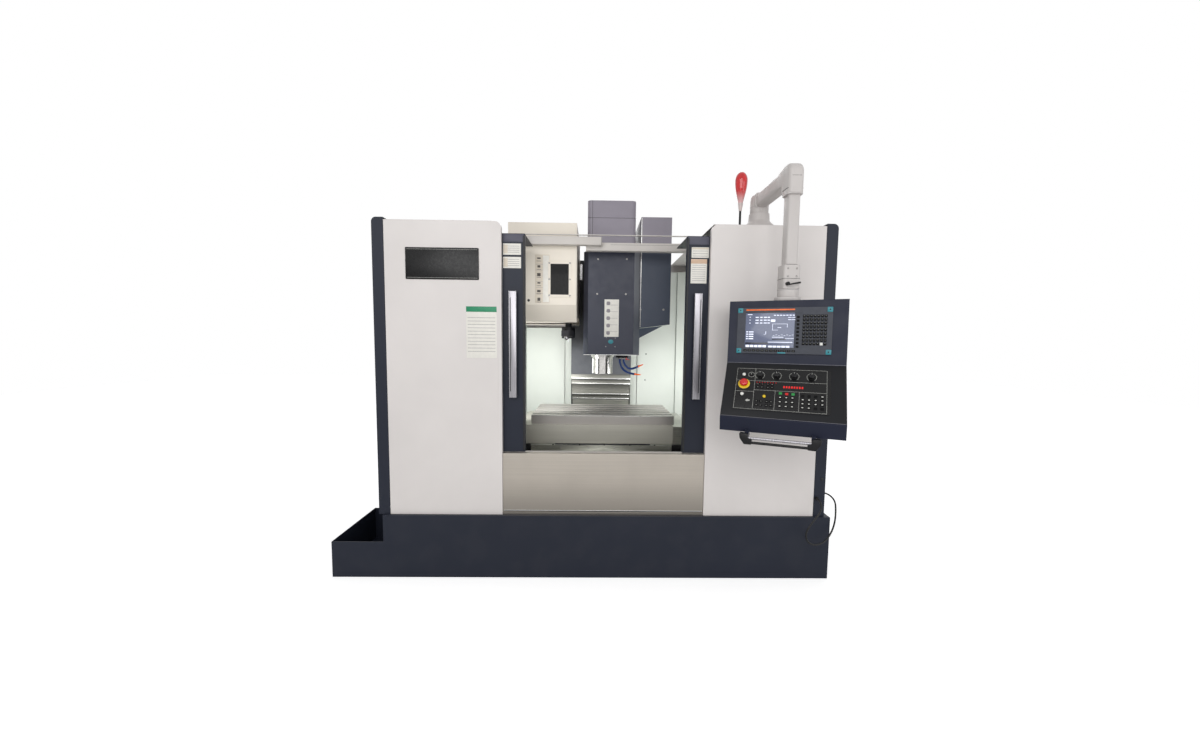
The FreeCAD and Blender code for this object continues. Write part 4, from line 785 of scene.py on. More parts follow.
class MACHINE_OT_lead(bpy.types.Operator):
    """Lay the free lead on one smooth curve from its front gland round to the side gland,
    with a tapered sleeve at both ends"""
    bl_idname = "machine.lead"
    bl_label = "Lead"

    def execute(self, context):
        sizes = context.scene.machine_sizes
        curve = bpy.data.curves.new("lead", "CURVE")
        curve.dimensions = "3D"
        spline = curve.splines.new("NURBS")
        spline.points.add(len(LEAD_ROUTE) - 1)
        spline.points.foreach_set("co", np.column_stack(
            [LEAD_ROUTE, np.ones(len(LEAD_ROUTE))]).ravel())
        spline.order_u = 3
        spline.use_endpoint_u = True
        curve.bevel_depth = sizes.lead_diameter / 2
        curve.bevel_resolution = 4
        curve.resolution_u = 14
        curve.use_fill_caps = True
        curve.materials.append(bpy.data.materials["cord_rubber_finish"])
        lead = bpy.data.objects.new("lead", curve)
        context.scene.collection.objects.link(lead)
        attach(lead, "machine_frame")
        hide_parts("cord")
        for name, point, way in (("relief_front", LEAD_ROUTE[0], (0, -1, 0)),
                                 ("relief_side", LEAD_ROUTE[-1], (1, 0, 0))):
            points, faces = turned_to(self.sleeve(sizes), way)
            piece(name, "cord_rubber", "machine_frame", (points + point, faces))
        return {"FINISHED"}

    def sleeve(self, sizes):
        """Radius falls from 1.6 to 1.06 of the lead's over the length, with grooves between."""
        along = np.linspace(0, 1, 25)
        lead = sizes.lead_diameter / 2
        groove = .10 * (np.cos(along * np.pi * 10) < -.2) * (along > .1) * (along < .95)
        radius = lead * (1.6 - .54 * along - groove)
        return spun(np.column_stack([radius, along * sizes.relief_length]), 24)


# The lamp's place on TOP
LAMP = (845, 200)


class MACHINE_OT_lamp(bpy.types.Operator):
    """Blow the tear-drop lens of the signal lamp and turn its socket and stem"""
    bl_idname = "machine.lamp"
    bl_label = "Signal lamp"

    def execute(self, context):
        red = piece("lamp_lens", "lamp_red", "machine_frame", TOP.at(self.bulb(), *LAMP),
                    angle=60)
        socket = spun([(7.5, 2285), (9.5, 2287), (9.5, 2293), (12, 2306), (14.6, 2324),
                       (15.4, 2331), (15.4, 2334), (13, 2334.5)], 40)
        piece("lamp_socket", "lamp_socket", "machine_frame", TOP.at(socket, *LAMP))
        stem = spun([(18, 2153), (18, 2158), (16.5, 2161), (9, 2162), (7.4, 2166), (7, 2172),
                     (7, 2286)])
        dark = piece("lamp_stem", "dark_metal", "machine_frame", TOP.at(stem, *LAMP))
        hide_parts("signal_lamp")
        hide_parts("signal_lamp")
        return {"FINISHED"}

    def bulb(self):
        """Radius grows from 8 mm as a power of a sine up to the widest place, 0.77 of the way
        up, and closes over it as an ellipse."""
        foot, reach, widest, radius = 2292, 232, .77, 38.5
        share = np.linspace(.17, .999, 40)
        neck = 8 + (radius - 8) * np.sin(np.clip(share / widest, 0, 1) * np.pi / 2) ** 1.6
        above = np.clip(share - widest, 0, 1) / (1 - widest)
        crown = radius * np.sqrt(np.clip(1 - above ** 2, 1e-3, 1))
        return spun(np.column_stack([np.minimum(neck, crown), foot + reach * share]), 48)


HOSES = (
    # place in Y, then the route's places in X and Z
    (698, ((158, 1334), (158, 1306), (170, 1280), (190, 1258), (216, 1250), (244, 1257),
           (272, 1270), (306, 1284))),
    (724, ((132, 1334), (132, 1300), (142, 1268), (160, 1242), (186, 1224), (214, 1214),
           (246, 1208), (292, 1204))),
)


class MACHINE_OT_hoses(bpy.types.Operator):
    """String the links of the two coolant hoses between their block and their tips"""
    bl_idname = "machine.hoses"
    bl_label = "Coolant hoses"

    def execute(self, context):
        pitch = context.scene.machine_sizes.link_pitch / MILLIMETRE
        body = piece("hose_block", "dark_metal", "head",
                     TOP.at(slab(90, 70, 0, 26, 5, 1.2), 145, 710, 1334))
        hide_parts("coolant_nozzles")
        union = spun([(11.5, -12), (11.5, -2), (10, 0), (9, 1)], 6)
        piece("hose_unions", "ground_steel", "head",
              *[TOP.at(union, route[0][0], y, 1335) for y, route in HOSES])
        piece("hose_tap", "button_red", "head",
              TOP.at(spun([(5, 0), (5, 12), (4, 13)], 16), 178, 690, 1322),
              TOP.at(slab(26, 7, 0, 5, 2, .8), 186, 690, 1318))
        link = spun([(5.6, -1.5), (7.4, 0), (8.5, 2.2), (8.5, 6.8), (7.2, 9.2), (6.1, 10.2),
                     (5.4, 11.5)], 18)
        for number, (y, route) in enumerate(HOSES, start=1):
            path = np.array([(x, y, z) for x, z in route], float)
            runs = np.linalg.norm(np.diff(path, axis=0), axis=1)
            gone = np.concatenate([[0], np.cumsum(runs)])
            stops = np.arange(4, gone[-2] - pitch * .6, pitch)
            centres = np.column_stack([np.interp(stops, gone, column) for column in path.T])
            ways = np.gradient(centres, axis=0)
            piece(f"hose_links_{number}", "hose_plastic", "head",
                  *[TOP.at(turned_to(link, way), *centre)
                    for centre, way in zip(centres, ways)])
            start = centres[-1] + ways[-1] / np.linalg.norm(ways[-1]) * pitch * .8
            reach = np.linalg.norm(path[-1] - start)
            tip = spun([(6, -1), (8.4, 0), (8.4, 5), (6.4, 8), (5.2, reach * .6), (4, reach),
                        (2.4, reach), (2.4, reach - 6)], 24)
            piece(f"hose_tip_{number}", "tip_orange", "head",
                  TOP.at(turned_to(tip, path[-1] - start), *start))
        return {"FINISHED"}


SCREWS = {
    # name: (body, level in front, places)
    "head_screws": ("head", HOOD_LEVEL, ((-44, 2041), (162, 2044), (-48, 1795), (158, 1796))),
    "flank_screws": ("head", FLANK_LEVEL, ((272, 1690), (440, 1692))),
    "window_screws": ("machine_frame", -455, (
        (-380, 1990), (-238, 1990), (-380, 1770), (-238, 1770), (-380, 1880), (-238, 1880))),
    "saddle_screws": ("saddle", -392, ((-293, 716), (-98, 716), (84, 716), (279, 716),
                                       (469, 716), (-480, 716))),
    "apron_screws": ("machine_frame", -24, ((-601, 402), (595, 402))),
    "elbow_screws": ("support_arm", 322, ((945, 2249), (985, 2249))),
    "sleeve_screws": ("support_arm", 318, ((942, 1852), (988, 1852), (942, 1812),
                                           (988, 1812))),
}


class MACHINE_OT_screws(bpy.types.Operator):
    """Set the button-head screws of the covers, each group on the body that it holds"""
    bl_idname = "machine.screws"
    bl_label = "Cover screws"

    def execute(self, context):
        r = context.scene.machine_sizes.screw_head / MILLIMETRE
        head = spun([(r * 1.3, 0), (r * 1.3, .5), (r, .6), (r, 1.4), (r * .8, 2.5), (r * .45, 3),
                     (r * .42, 1.6), (r * .1, 1.5)], 18)
        for name, (body, level, places) in SCREWS.items():
            piece(name, "ground_steel", body, FRONT.each(head, places, level))
        return {"FINISHED"}


SHEETS = {
    # name: (body, x centre, z centre, width, height, level in front, ground, band, field),
    # the band as (u, v, width, height, finish), and the field of ruled lines as (columns,
    # rows, width, height, drop below the middle)
    "notice": ("machine_frame", -736, 1504, 180, 305, 0, "paper",
               (0, 136, 180, 32, "paper_green"), (1, 11, 164, 2.2, -14)),
    "label_left_upper": ("door_left", -560, 1998, 106, 66, DOOR_LEVEL, "paper",
                         (-38, 0, 24, 50, "paper_beige"), (1, 4, 86, 2, 0)),
    "label_left_lower": ("door_left", -560, 1920, 106, 66, DOOR_LEVEL, "paper",
                         (-38, 0, 24, 50, "paper_beige"), (1, 4, 86, 2, 0)),
    "label_right_upper": ("door_right", 562, 1994, 104, 62, DOOR_LEVEL, "paper",
                          (0, 24, 100, 10, "paper_beige"), (1, 3, 90, 2, -6)),
    "label_right_lower": ("door_right", 556, 1884, 96, 144, DOOR_LEVEL, "paper",
                          (0, 58, 96, 26, "paper_band"), (1, 8, 80, 2, -10)),
    "label_magazine": ("machine_frame", -429, 1882, 100, 330, MAGAZINE_LEVEL, "paper_beige",
                       (26, 0, 42, 318, "paper"), (1, 6, 90, 1.6, 0)),
    "label_head": ("head", 58, 1623, 104, 268, HOOD_LEVEL, "paper", None,
                   (1, 5, 86, 1.6, 0)),
}
# The middle of the bare plate over the left door
BLANK_PLATE = (-962, 1902)


class MACHINE_OT_sheets(bpy.types.Operator):
    """Lay the label sheets on panels, doors, magazine and head: bare sheets with plain bands
    and ruled fields"""
    bl_idname = "machine.sheets"
    bl_label = "Label sheets"

    def execute(self, context):
        thick = context.scene.machine_sizes.sheet / MILLIMETRE
        for name, (body, x, z, width, height, level, ground_finish, band,
                   field) in SHEETS.items():
            piece(name, ground_finish, body,
                  FRONT.at(slab(width, height, 0, thick, 2, .2), x, z, level))
            if band:
                u, v, wide, high, finish = band
                strip = slab(wide, high, thick - .1, thick + .25, .5, .1)
                piece(f"{name}_band_0", finish, body, FRONT.at(strip, x + u, z + v, level))
            columns, rows, wide, high, drop = field
            across = (np.arange(columns) - (columns - 1) / 2) * (width * .46)
            up = (np.arange(rows) - (rows - 1) / 2) * (height * (.72 if band else .88) / rows)
            line = slab(wide, high, thick - .1, thick + .2, min(1, high / 3), .1)
            piece(f"{name}_fields", "paper_mark", body,
                  FRONT.each(line, grid(across + x, up + drop + z), level))
        rows = 1742 + 56 * np.arange(6)
        piece("label_marks", "paper_dark", "machine_frame",
              *[FRONT.at(slab(20 + 4 * (n % 2), 22 - 6 * (n % 3), thick - .1, thick + .4, 2, .1),
                         -452, z, MAGAZINE_LEVEL) for n, z in enumerate(rows)],
              FRONT.each(slab(30, 3, thick - .1, thick + .4, 2, .1),
                         [(-452, z - 19) for z in rows], MAGAZINE_LEVEL))
        piece("label_signs", "paper_mark", "head",
              FRONT.each(slab(26, 26, thick - .1, thick + .4, 8, .1),
                         [(34, 1517 + 53 * n) for n in range(5)], HOOD_LEVEL))
        piece("blank_plate", "gloss_black", "machine_frame",
              FRONT.at(slab(428, 184, 0, 4, 4, 1.2), *BLANK_PLATE))
        x, z = BLANK_PLATE
        piece("blank_plate_rims", "engraving", "machine_frame",
              FRONT.each(slab(412, 1.4, 3.6, 4.3, .4, .2), [(x, z - 82), (x, z + 82)]))
        return {"FINISHED"}


DOOR_SIDES = {"door_left": -1, "door_right": 1}
DOOR_PANES = {"door_left": "door_pane_left", "door_right": "door_pane_right"}
# The middle of a door's grip, to the side and up, and its length
GRIP_X, GRIP_Z, GRIP_LENGTH = 552, 1432, 637


class MACHINE_OT_doors(bpy.types.Operator):
    """Fit the doors: brushed grips, grey top bands, dark inner strips, the gaskets of the
    panes, and the rails and roof beams that the doors run under"""
    bl_idname = "machine.doors"
    bl_label = "Door fittings"

    def execute(self, context):
        low, high = corners_of("door_guides")
        wide = high[0] - low[0]
        piece("door_rails", "beam_paint", "machine_frame",
              FRONT.at(slab(wide, 39, 0, 15.8, 1, .6), 0, 756.2, -64),
              FRONT.at(slab(wide, 4, 0, 15.8, 1, .6), 0, 2092.4, -70))
        made = piece("roof_beams", "beam_paint", "machine_frame",
                     self.beam(400, 2105, 50, -675, -21), self.beam(450, 2077, 55, -129, 650),
                     FRONT.at(slab(40, 18, -505, -450, 1, .5), 630, 2141))
        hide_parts("door_guides")
        piece("beam_seams", "seam", "machine_frame",
              FRONT.at(slab(2, 53, 0, .5, .4, .1), -24, 2132, -400),
              FRONT.at(slab(520, 1.2, 0, .4, .4, .1), 300, 2118, -450))
        for body, side in DOOR_SIDES.items():
            piece(f"{body}_grip", "handle_steel", body,
                  FRONT.at(slab(45, GRIP_LENGTH, -11, 3, 5, 4), GRIP_X * side, GRIP_Z))
            piece(f"{body}_grip_groove", "seam", body,
                  FRONT.at(slab(5, 560, 2.7, 3.2, 2, .2), (GRIP_X + 13) * side, GRIP_Z))
            piece(f"{body}_grip_edges", "bright_steel", body,
                  FRONT.each(slab(1.5, GRIP_LENGTH, 2.4, 3.4, .6, .2),
                             [((GRIP_X + u) * side, GRIP_Z) for u in (-20.5, 20.5)]))
            piece(f"{body}_band", "band_paint", body,
                  FRONT.at(slab(126, 46, 0, 1.2, 2, .5), 551 * side, 2064, DOOR_LEVEL))
            piece(f"{body}_strip", "wiper", body,
                  FRONT.at(slab(9, 1290, 0, 5, 2, 1), 490.5 * side, 1433, DOOR_LEVEL))
        for body, pane in DOOR_PANES.items():
            low, high = corners_of(pane)
            centre, reach = (low + high) / 2, high - low
            path = outline(reach[0] - 40, reach[2] - 40, 12, 6)
            path = np.column_stack([path, np.zeros(len(path))])
            gasket = swept(np.concatenate([path, path[:2]]), circle(4, 8))
            piece(f"{body}_gasket", "wiper", body,
                  FRONT.at(gasket, centre[0], centre[2], DOOR_LEVEL + 1.5))
        return {"FINISHED"}

    def beam(self, y, z, depth, left, right):
        """A folded beam, 55 mm tall, from its near lower edge and between two places across."""
        corners = [(y, z, 3), (y + depth, z, 3), (y + depth, z + 55, 3), (y, z + 55, 3)]
        return RIGHT.at(cutout(rounded(corners, 4), left, right, .8))


Z_LIPS = {
    # body: (half width, front face, lower edge)
    "z_cover_1": (268, 1352, 1109), "z_cover_2": (265, 1359, 1063),
    "z_cover_3": (262, 1366, 967), "z_cover_4": (259, 1373, 925),
}
# How far the Y covers' roof falls for each millimetre across
GABLE = .163


class MACHINE_OT_cover_lips(bpy.types.Operator):
    """Edge the way covers: a pale fold over a dark wiper at the open edge of each section"""
    bl_idname = "machine.cover_lips"
    bl_label = "Way cover lips"

    def execute(self, context):
        high = context.scene.machine_sizes.lip_height / MILLIMETRE
        for body, (half, front, low) in Z_LIPS.items():
            piece(f"{body}_fold", "pale_trim", body,
                  FRONT.at(slab(2 * half - 2, high, 0, 1.6, .8, .5), 0, low + high / 2 + 3,
                           -front))
            piece(f"{body}_wiper", "wiper", body,
                  FRONT.at(slab(2 * half - 6, 4, -1, 2.4, .8, .4), 0, low + 1.5, -front))
        for body in ("y_cover_1", "y_cover_2", "y_cover_3"):
            low, top = corners_of(body)
            half, near, eave = top[0], low[1] + 5, top[2] - top[0] * GABLE
            gable = [(-half, near, eave - 60), (-half, near, eave), (0, near, top[2]),
                     (half, near, eave), (half, near, eave - 60)]
            fold = swept(run_past(gable, 41), outline(2.4, high, .6), over=(0, 1, 0))
            piece(f"{body}_fold", "pale_trim", body, TOP.at(fold))
        for body in ("x_cover_inner", "x_cover_outer"):
            low, top = corners_of(body)
            folds = []
            for x in (5 - top[0], top[0] - 5):
                hoop = [(x, low[1], low[2] + 2), (x, low[1], top[2]), (x, top[1], top[2]),
                        (x, top[1], low[2] + 2)]
                folds.append(swept(run_past(hoop, 31), outline(2.2, high, .6),
                                   over=(1, 0, 0)))
            piece(f"{body}_folds", "pale_trim", body, TOP.at(joined(*folds)))
        return {"FINISHED"}


TRIM = (
    # name, finish, body, then slabs with their sizes (width, height, low, high, radius, edge),
    # the places of each, and their level in front
    ("saddle_ends", "knob_black", "saddle", ((62.8, 48.8, -401, -385.4, 3, 2), ((-529, 716),), 0),
     ((86.8, 48.8, -401, -385.4, 3, 2), ((526, 716),), 0)),
    ("table_edge", "pale_trim", "table", ((1000, 3, 0, .8, 1, .3), ((0, 934),), -425)),
    # A pale strip at the head's right flank: a painted reflection of the bright cabin wall.
    ("flank_strip", "pale_trim", "head", ((5, 780, 0, 2, 1, .6), ((270, 1955),), -618)),
    ("head_edge", "pale_trim", "head", ((405, 4, 0, 1, 1, .3), ((60, 1358),), -569.5)),
    ("hood_seams", "seam", "head", ((344, 2.2, 0, .5, .8, .2), ((52, 2104), (52, 2330)), -574),
     ((2.2, 344, 0, .5, .8, .2), ((-86, 2276),), -574)),
    ("wall_seams", "seam", "machine_frame",
     ((3, 1550, 0, 1, 1, .3), ((-682, 1300), (682, 1300)), -1408)),
    ("wall_strips", "cabin_paint", "machine_frame",
     ((57, 1382, -1444.6, -1437.4, 2, .8), ((-300.5, 1391), (300.5, 1391)), 0)),
    ("saddle_notches", "seam", "saddle",
     ((9, 7, 0, .6, 1, .2), ((-345, 738), (-160, 738), (12, 738), (190, 738), (362, 738)),
      SADDLE_LEVEL)),
)


class MACHINE_OT_machine_trim(bpy.types.Operator):
    """Add the trim of the machine: black saddle ends, bright edges, seams, plugs and the
    gripper's ball. The pale strip at the head's right flank is a painted reflection, and the dark
    line under the apron's pale line is a painted shadow."""
    bl_idname = "machine.machine_trim"
    bl_label = "Machine trim"

    def execute(self, context):
        for name, finish, body, *groups in TRIM:
            piece(name, finish, body, *[FRONT.each(slab(*size), places, level)
                                        for size, places, level in groups])
        plug = spun([(6, 0), (6, .8), (4.5, 1.2), (3.5, .5), (.5, .4)], 20)
        piece("wall_plugs", "seam", "machine_frame",
              FRONT.each(plug, [(414, 1340), (409, 1100)], -1434))
        piece("dark_caps", "seam", "machine_frame",
              FRONT.at(spun([(9, 0), (9, 1), (7, 1.4), (6, .6), (.5, .5)], 24), -523, 1734,
                       MAGAZINE_LEVEL),
              FRONT.at(spun([(9, 0), (9, 2), (7, 3.2), (.5, 3.4)], 24), 1347, 627))
        pin = spun([(3, -26), (3.5, -25), (3.5, 20)], 16)
        piece("gripper_ball", "bright_steel", "change_arm",
              TOP.at(self.ball(17), -265, 535, 1478), TOP.at(pin, -265, 800, 1476))
        points, faces = spun([(19, 0), (19, .6), (18, .8), (.3, .8)], 40)
        piece("head_oval", "teal", "head",
              FRONT.at((points * (1, .8, 1), faces), 54, 1454, HOOD_LEVEL))
        dot = spun([(3, 0), (3, .5), (2.4, .9), (.3, .9)], 14)
        piece("head_dots", "engraving", "head",
              FRONT.each(dot, [(22, 1484), (87, 1481), (19, 1418), (86, 1418)], HOOD_LEVEL))
        line = slab(1226, 4, 0, 1, .8, .3)
        piece("apron_line", "pale_trim", "machine_frame", FRONT.at(line, 0, 416, -7.4))
        piece("apron_shadow", "seam", "machine_frame", FRONT.at(line, 0, 411, -7.8))
        return {"FINISHED"}

    def ball(self, radius):
        """A half circle turned about its axis: radius times (sin a, -cos a)."""
        angle = np.linspace(.02, np.pi - .02, 20)
        return spun(radius * np.column_stack([np.sin(angle), -np.cos(angle)]), 28)


class MACHINE_OT_arm(bpy.types.Operator):
    """Cast the support arm with its rounded elbow, tube and sleeve, its dark joints, the pale
    collar under it and the curved lever"""
    bl_idname = "machine.arm"
    bl_label = "Support arm"

    def execute(self, context):
        x, y = TUBE
        flare = spun([(98, 2154), (98, 2181), (95, 2188), (86, 2196), (74, 2208), (65, 2219),
                      (62, 2232), (61, 2236), (57, 2238), (57, 2262), (50, 2264.5)], 64)
        piece("post_flare", "arm_paint", "machine_frame", TOP.at(flare, *POST))
        elbow = rounded([(-327, 2236, 4), (-231, 2236, 4), (-229, 2290, 22), (-168, 2296, 4),
                         (-168, 2386, 10), (-250, 2396, 30), (-327, 2392, 46)])
        beam = [(x, -200, 2339), (x, -160, 2339), (x, 60, 2339), (x, 150, 2339)]
        hub = spun([(50, 2265.5), (55, 2267), (56, 2270), (56, 2300), (54, 2302), (54, 2305),
                    (56, 2307), (55, 2345), (52, 2368), (46, 2378), (38, 2381.5), (.5, 2382)],
                   64)
        arm = piece(
            "arm", "arm_paint", "support_arm",
            RIGHT.at(cutout(elbow, x - 41, x + 41, 22)),
            TOP.at(swept(beam, outline(74, 82, 18, 3))),
            TOP.at(slab(84, 88, 2232, 2262, 20, 3), x, y - 4),
            FRONT.at(slab(88, 92, -176, -150, 18, 3), x, 2341),
            TOP.at(hub, *POST),
            TOP.at(slab(64, 68, 1866, 2240, 13, 2), x, y - 2),
            TOP.at(slab(88, 88, 1748, 1872, 12, 2.5), x, y))
        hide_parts("support_arm")
        piece("arm_joints", "seam", "support_arm",
              TOP.at(slab(67, 71, -1.2, 1.2, 13, .4), x, y - 2, 1873.4),
              TOP.at(slab(86, 90, -1, 1, 20, .4), x, y - 4, 2262),
              TOP.at(slab(90.5, 90.5, -.8, .8, 12, .3), x, y, 1800))
        piece("elbow_seams", "seam", "support_arm",
              FRONT.at(slab(50, 1.4, 0, .6, .5, .2), x, 2322, 326.6))
        piece("collar", "arm_paint", "control_box",
              BOX_TOP.at(cutout(outline(106, 106, 46, 8), 1703, 1747.5, 2.5)),
              BOX_TOP.at(cutout(outline(130, 130, 40, 8), 1683.4, 1704, 3)))
        rim = outline(106.6, 106.6, 46.3, 8)
        piece("collar_seams", "fold_grey", "control_box",
              BOX_TOP.at(cutout(rim, 1741, 1742.4, .3)), BOX_TOP.at(cutout(rim, 1704, 1705, .3)))
        boss = spun([(9, 0), (9, 18), (7.5, 20.5), (2.5, 21), (2.5, 19)], 28)
        lever = piece("lever", "knob_black", "clamp_lever", TOP.at(self.grip()),
                      FRONT.at(boss, 939, 1772, 320.4))
        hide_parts("clamp_lever")
        return {"FINISHED"}

    def grip(self):
        """The lever's bar bows forward by 8 sin(pi t) and its radius grows from 3.4 by
        1.6 times the square of sin(pi t / 2)."""
        share = np.linspace(0, 1, 25)
        path = np.column_stack([941 + 60 * share, -337 - 8 * np.sin(share * np.pi),
                                1766 + 11 * share])
        radius = 3.4 + 1.6 * np.sin(share * np.pi * .5) ** 2
        return swept(path, circle(1, 16), swell=radius)


def copies(face, name, finish, shape, spots, w=0):
    """A piece of the control box made of copies of one shape on one of its faces."""
    return piece(name, finish, "control_box", face.each(shape, spots, w))


class MACHINE_OT_screen(bpy.types.Operator):
    """Fit the screen: lit picture of plain fields, soft keys, key field and corner marks"""
    bl_idname = "machine.screen"
    bl_label = "Screen part"

    def execute(self, context):
        key, mark = 9, 9 + context.scene.machine_sizes.key_rise / MILLIMETRE
        copies(SCREEN, "screen_picture", "screen_lit", slab(240, 190, 7, 7.3, 1, .1),
               [(-78, 174)])
        self.fields("screen_words", "screen_pale", self.words(), 7.2, 7.5)
        self.fields("screen_rows", "screen_dark",
                    [(-139, 105, 114, 9), (-30, 126, 66, 5), (-78, 100, 240, 1.4),
                     (-78, 79, 240, 5), (-78, 267, 240, 6)], 7.1, 7.4)
        copies(SCREEN, "screen_strip", "tip_orange", slab(238, 7, 8.8, 9.6, 1, .3),
               [(-78, 281)])
        copies(SCREEN, "soft_column", "screen_plastic", slab(40, 186, 5, 9.2, 1, .3),
               [(64, 176)])
        copies(SCREEN, "soft_keys_side", "key_plastic", slab(13, 11, 8.8, mark + .2, 1.5, .6),
               [(58, 242 - 19 * n) for n in range(9)])
        row = [(-194 + 21.4 * n, 67) for n in range(12)]
        copies(SCREEN, "soft_keys_row", "key_plastic", slab(16, 10, key - .4, mark, 1.5, .6),
               row)
        keys = grid(np.arange(7) * 16.4 + 86, 246 - np.arange(9) * 17.6)
        white = np.linalg.norm(keys - (168, 105.2), axis=1) < 2
        cap = slab(13.2, 13.6, key - .4, mark, 1.6, .7)
        copies(SCREEN, "pad_keys", "key_plastic", cap, keys[~white])
        copies(SCREEN, "pad_key_white", "key_pale", cap, keys[white])
        copies(SCREEN, "pad_marks", "engraving", slab(4.6, 1.2, mark - .3, mark + .15, .4, .1),
               keys[~white] + (0, 2.5))
        copies(SCREEN, "soft_marks", "engraving", slab(6, 1, mark - .3, mark + .15, .3, .1),
               row)
        corners = [(-226, 279), (202, 279), (-226, 65), (202, 65)]
        copies(SCREEN, "bezel_corners", "teal", slab(25, 25, 8.7, 10.2, 3, .8), corners)
        copies(SCREEN, "bezel_field", "teal", slab(38, 7, 8.7, 9.4, 1, .3), [(-15, 57)])
        copies(SCREEN, "bezel_screws", "dark_metal",
               spun([(3.4, 10), (3.4, 10.8), (2.2, 11.4), (.4, 11.2)], 14), corners)
        copies(SCREEN, "fold_line", "fold_grey", slab(566, 2.4, -.6, .8, .8, .4), [(0, 1.5)])
        return {"FINISHED"}

    def fields(self, name, finish, rows, low, high):
        """Plain fields of the picture, each at (u, v) with its width and height."""
        piece(name, finish, "control_box",
              *[SCREEN.at(slab(wide, tall, low, high, .5, .1), u, v)
                for u, v, wide, tall in rows])

    def words(self):
        """The picture's pale fields in their rows, each (u, v, width, height)."""
        words = [(-177, 257, 24, 3.5), (-176, 243, 7, 3), (-176, 228, 7, 3), (-176, 212, 7, 3),
                 (-62, 224, 22, 13), (-95, 160, 3, 16), (-102, 152, 3, 3), (-36, 138, 56, 3),
                 (20, 132, 40, 2), (-24, 112, 118, 3.5), (-63, 190, 2, 34), (8, 198, 2, 18),
                 (-28, 207, 70, 1.6), (-50, 175, 26, 1.6), (-30, 188, 18, 2.6)]
        words += [(-54 + 15 * n, 252, 11, 4.4) for n in range(7)]
        words += [(u, v, 16 - 4 * (n % 2), 5) for v in (242, 227, 212)
                  for n, u in enumerate((-141, -120, -100, -83))]
        words += [(u, v, 16, 3) for v in (241, 229) for u in (18, 37)]
        words += [(u, v, w, 5.6) for v in (165, 153, 141, 129)
                  for u, w in ((-188, 9), (-168, 24))]
        words += [(-184 + 21 * n, 90, 18, 12) for n in range(5)]
        words += [(-71 + 21 * n, 88, 18, 11) for n in range(5)]
        words += [(u, 146 + 4 * (n % 2), 9, 1.6) for n, u in enumerate(range(-56, 40, 13))]
        return words


# The places of the controls on KEYS, and how far the handle's bars stand out of BOX
DIALS = (-110, -30, 52, 132)
DIAL_ROW = 250
STOP_BUTTON = (-185, 196)
WHITE_BUTTONS = {"start_button": (-189, 250), "hold_button": (-189, 134)}
KEY_SWITCH = (-152, 252)
HANDLE_LEVEL = 345


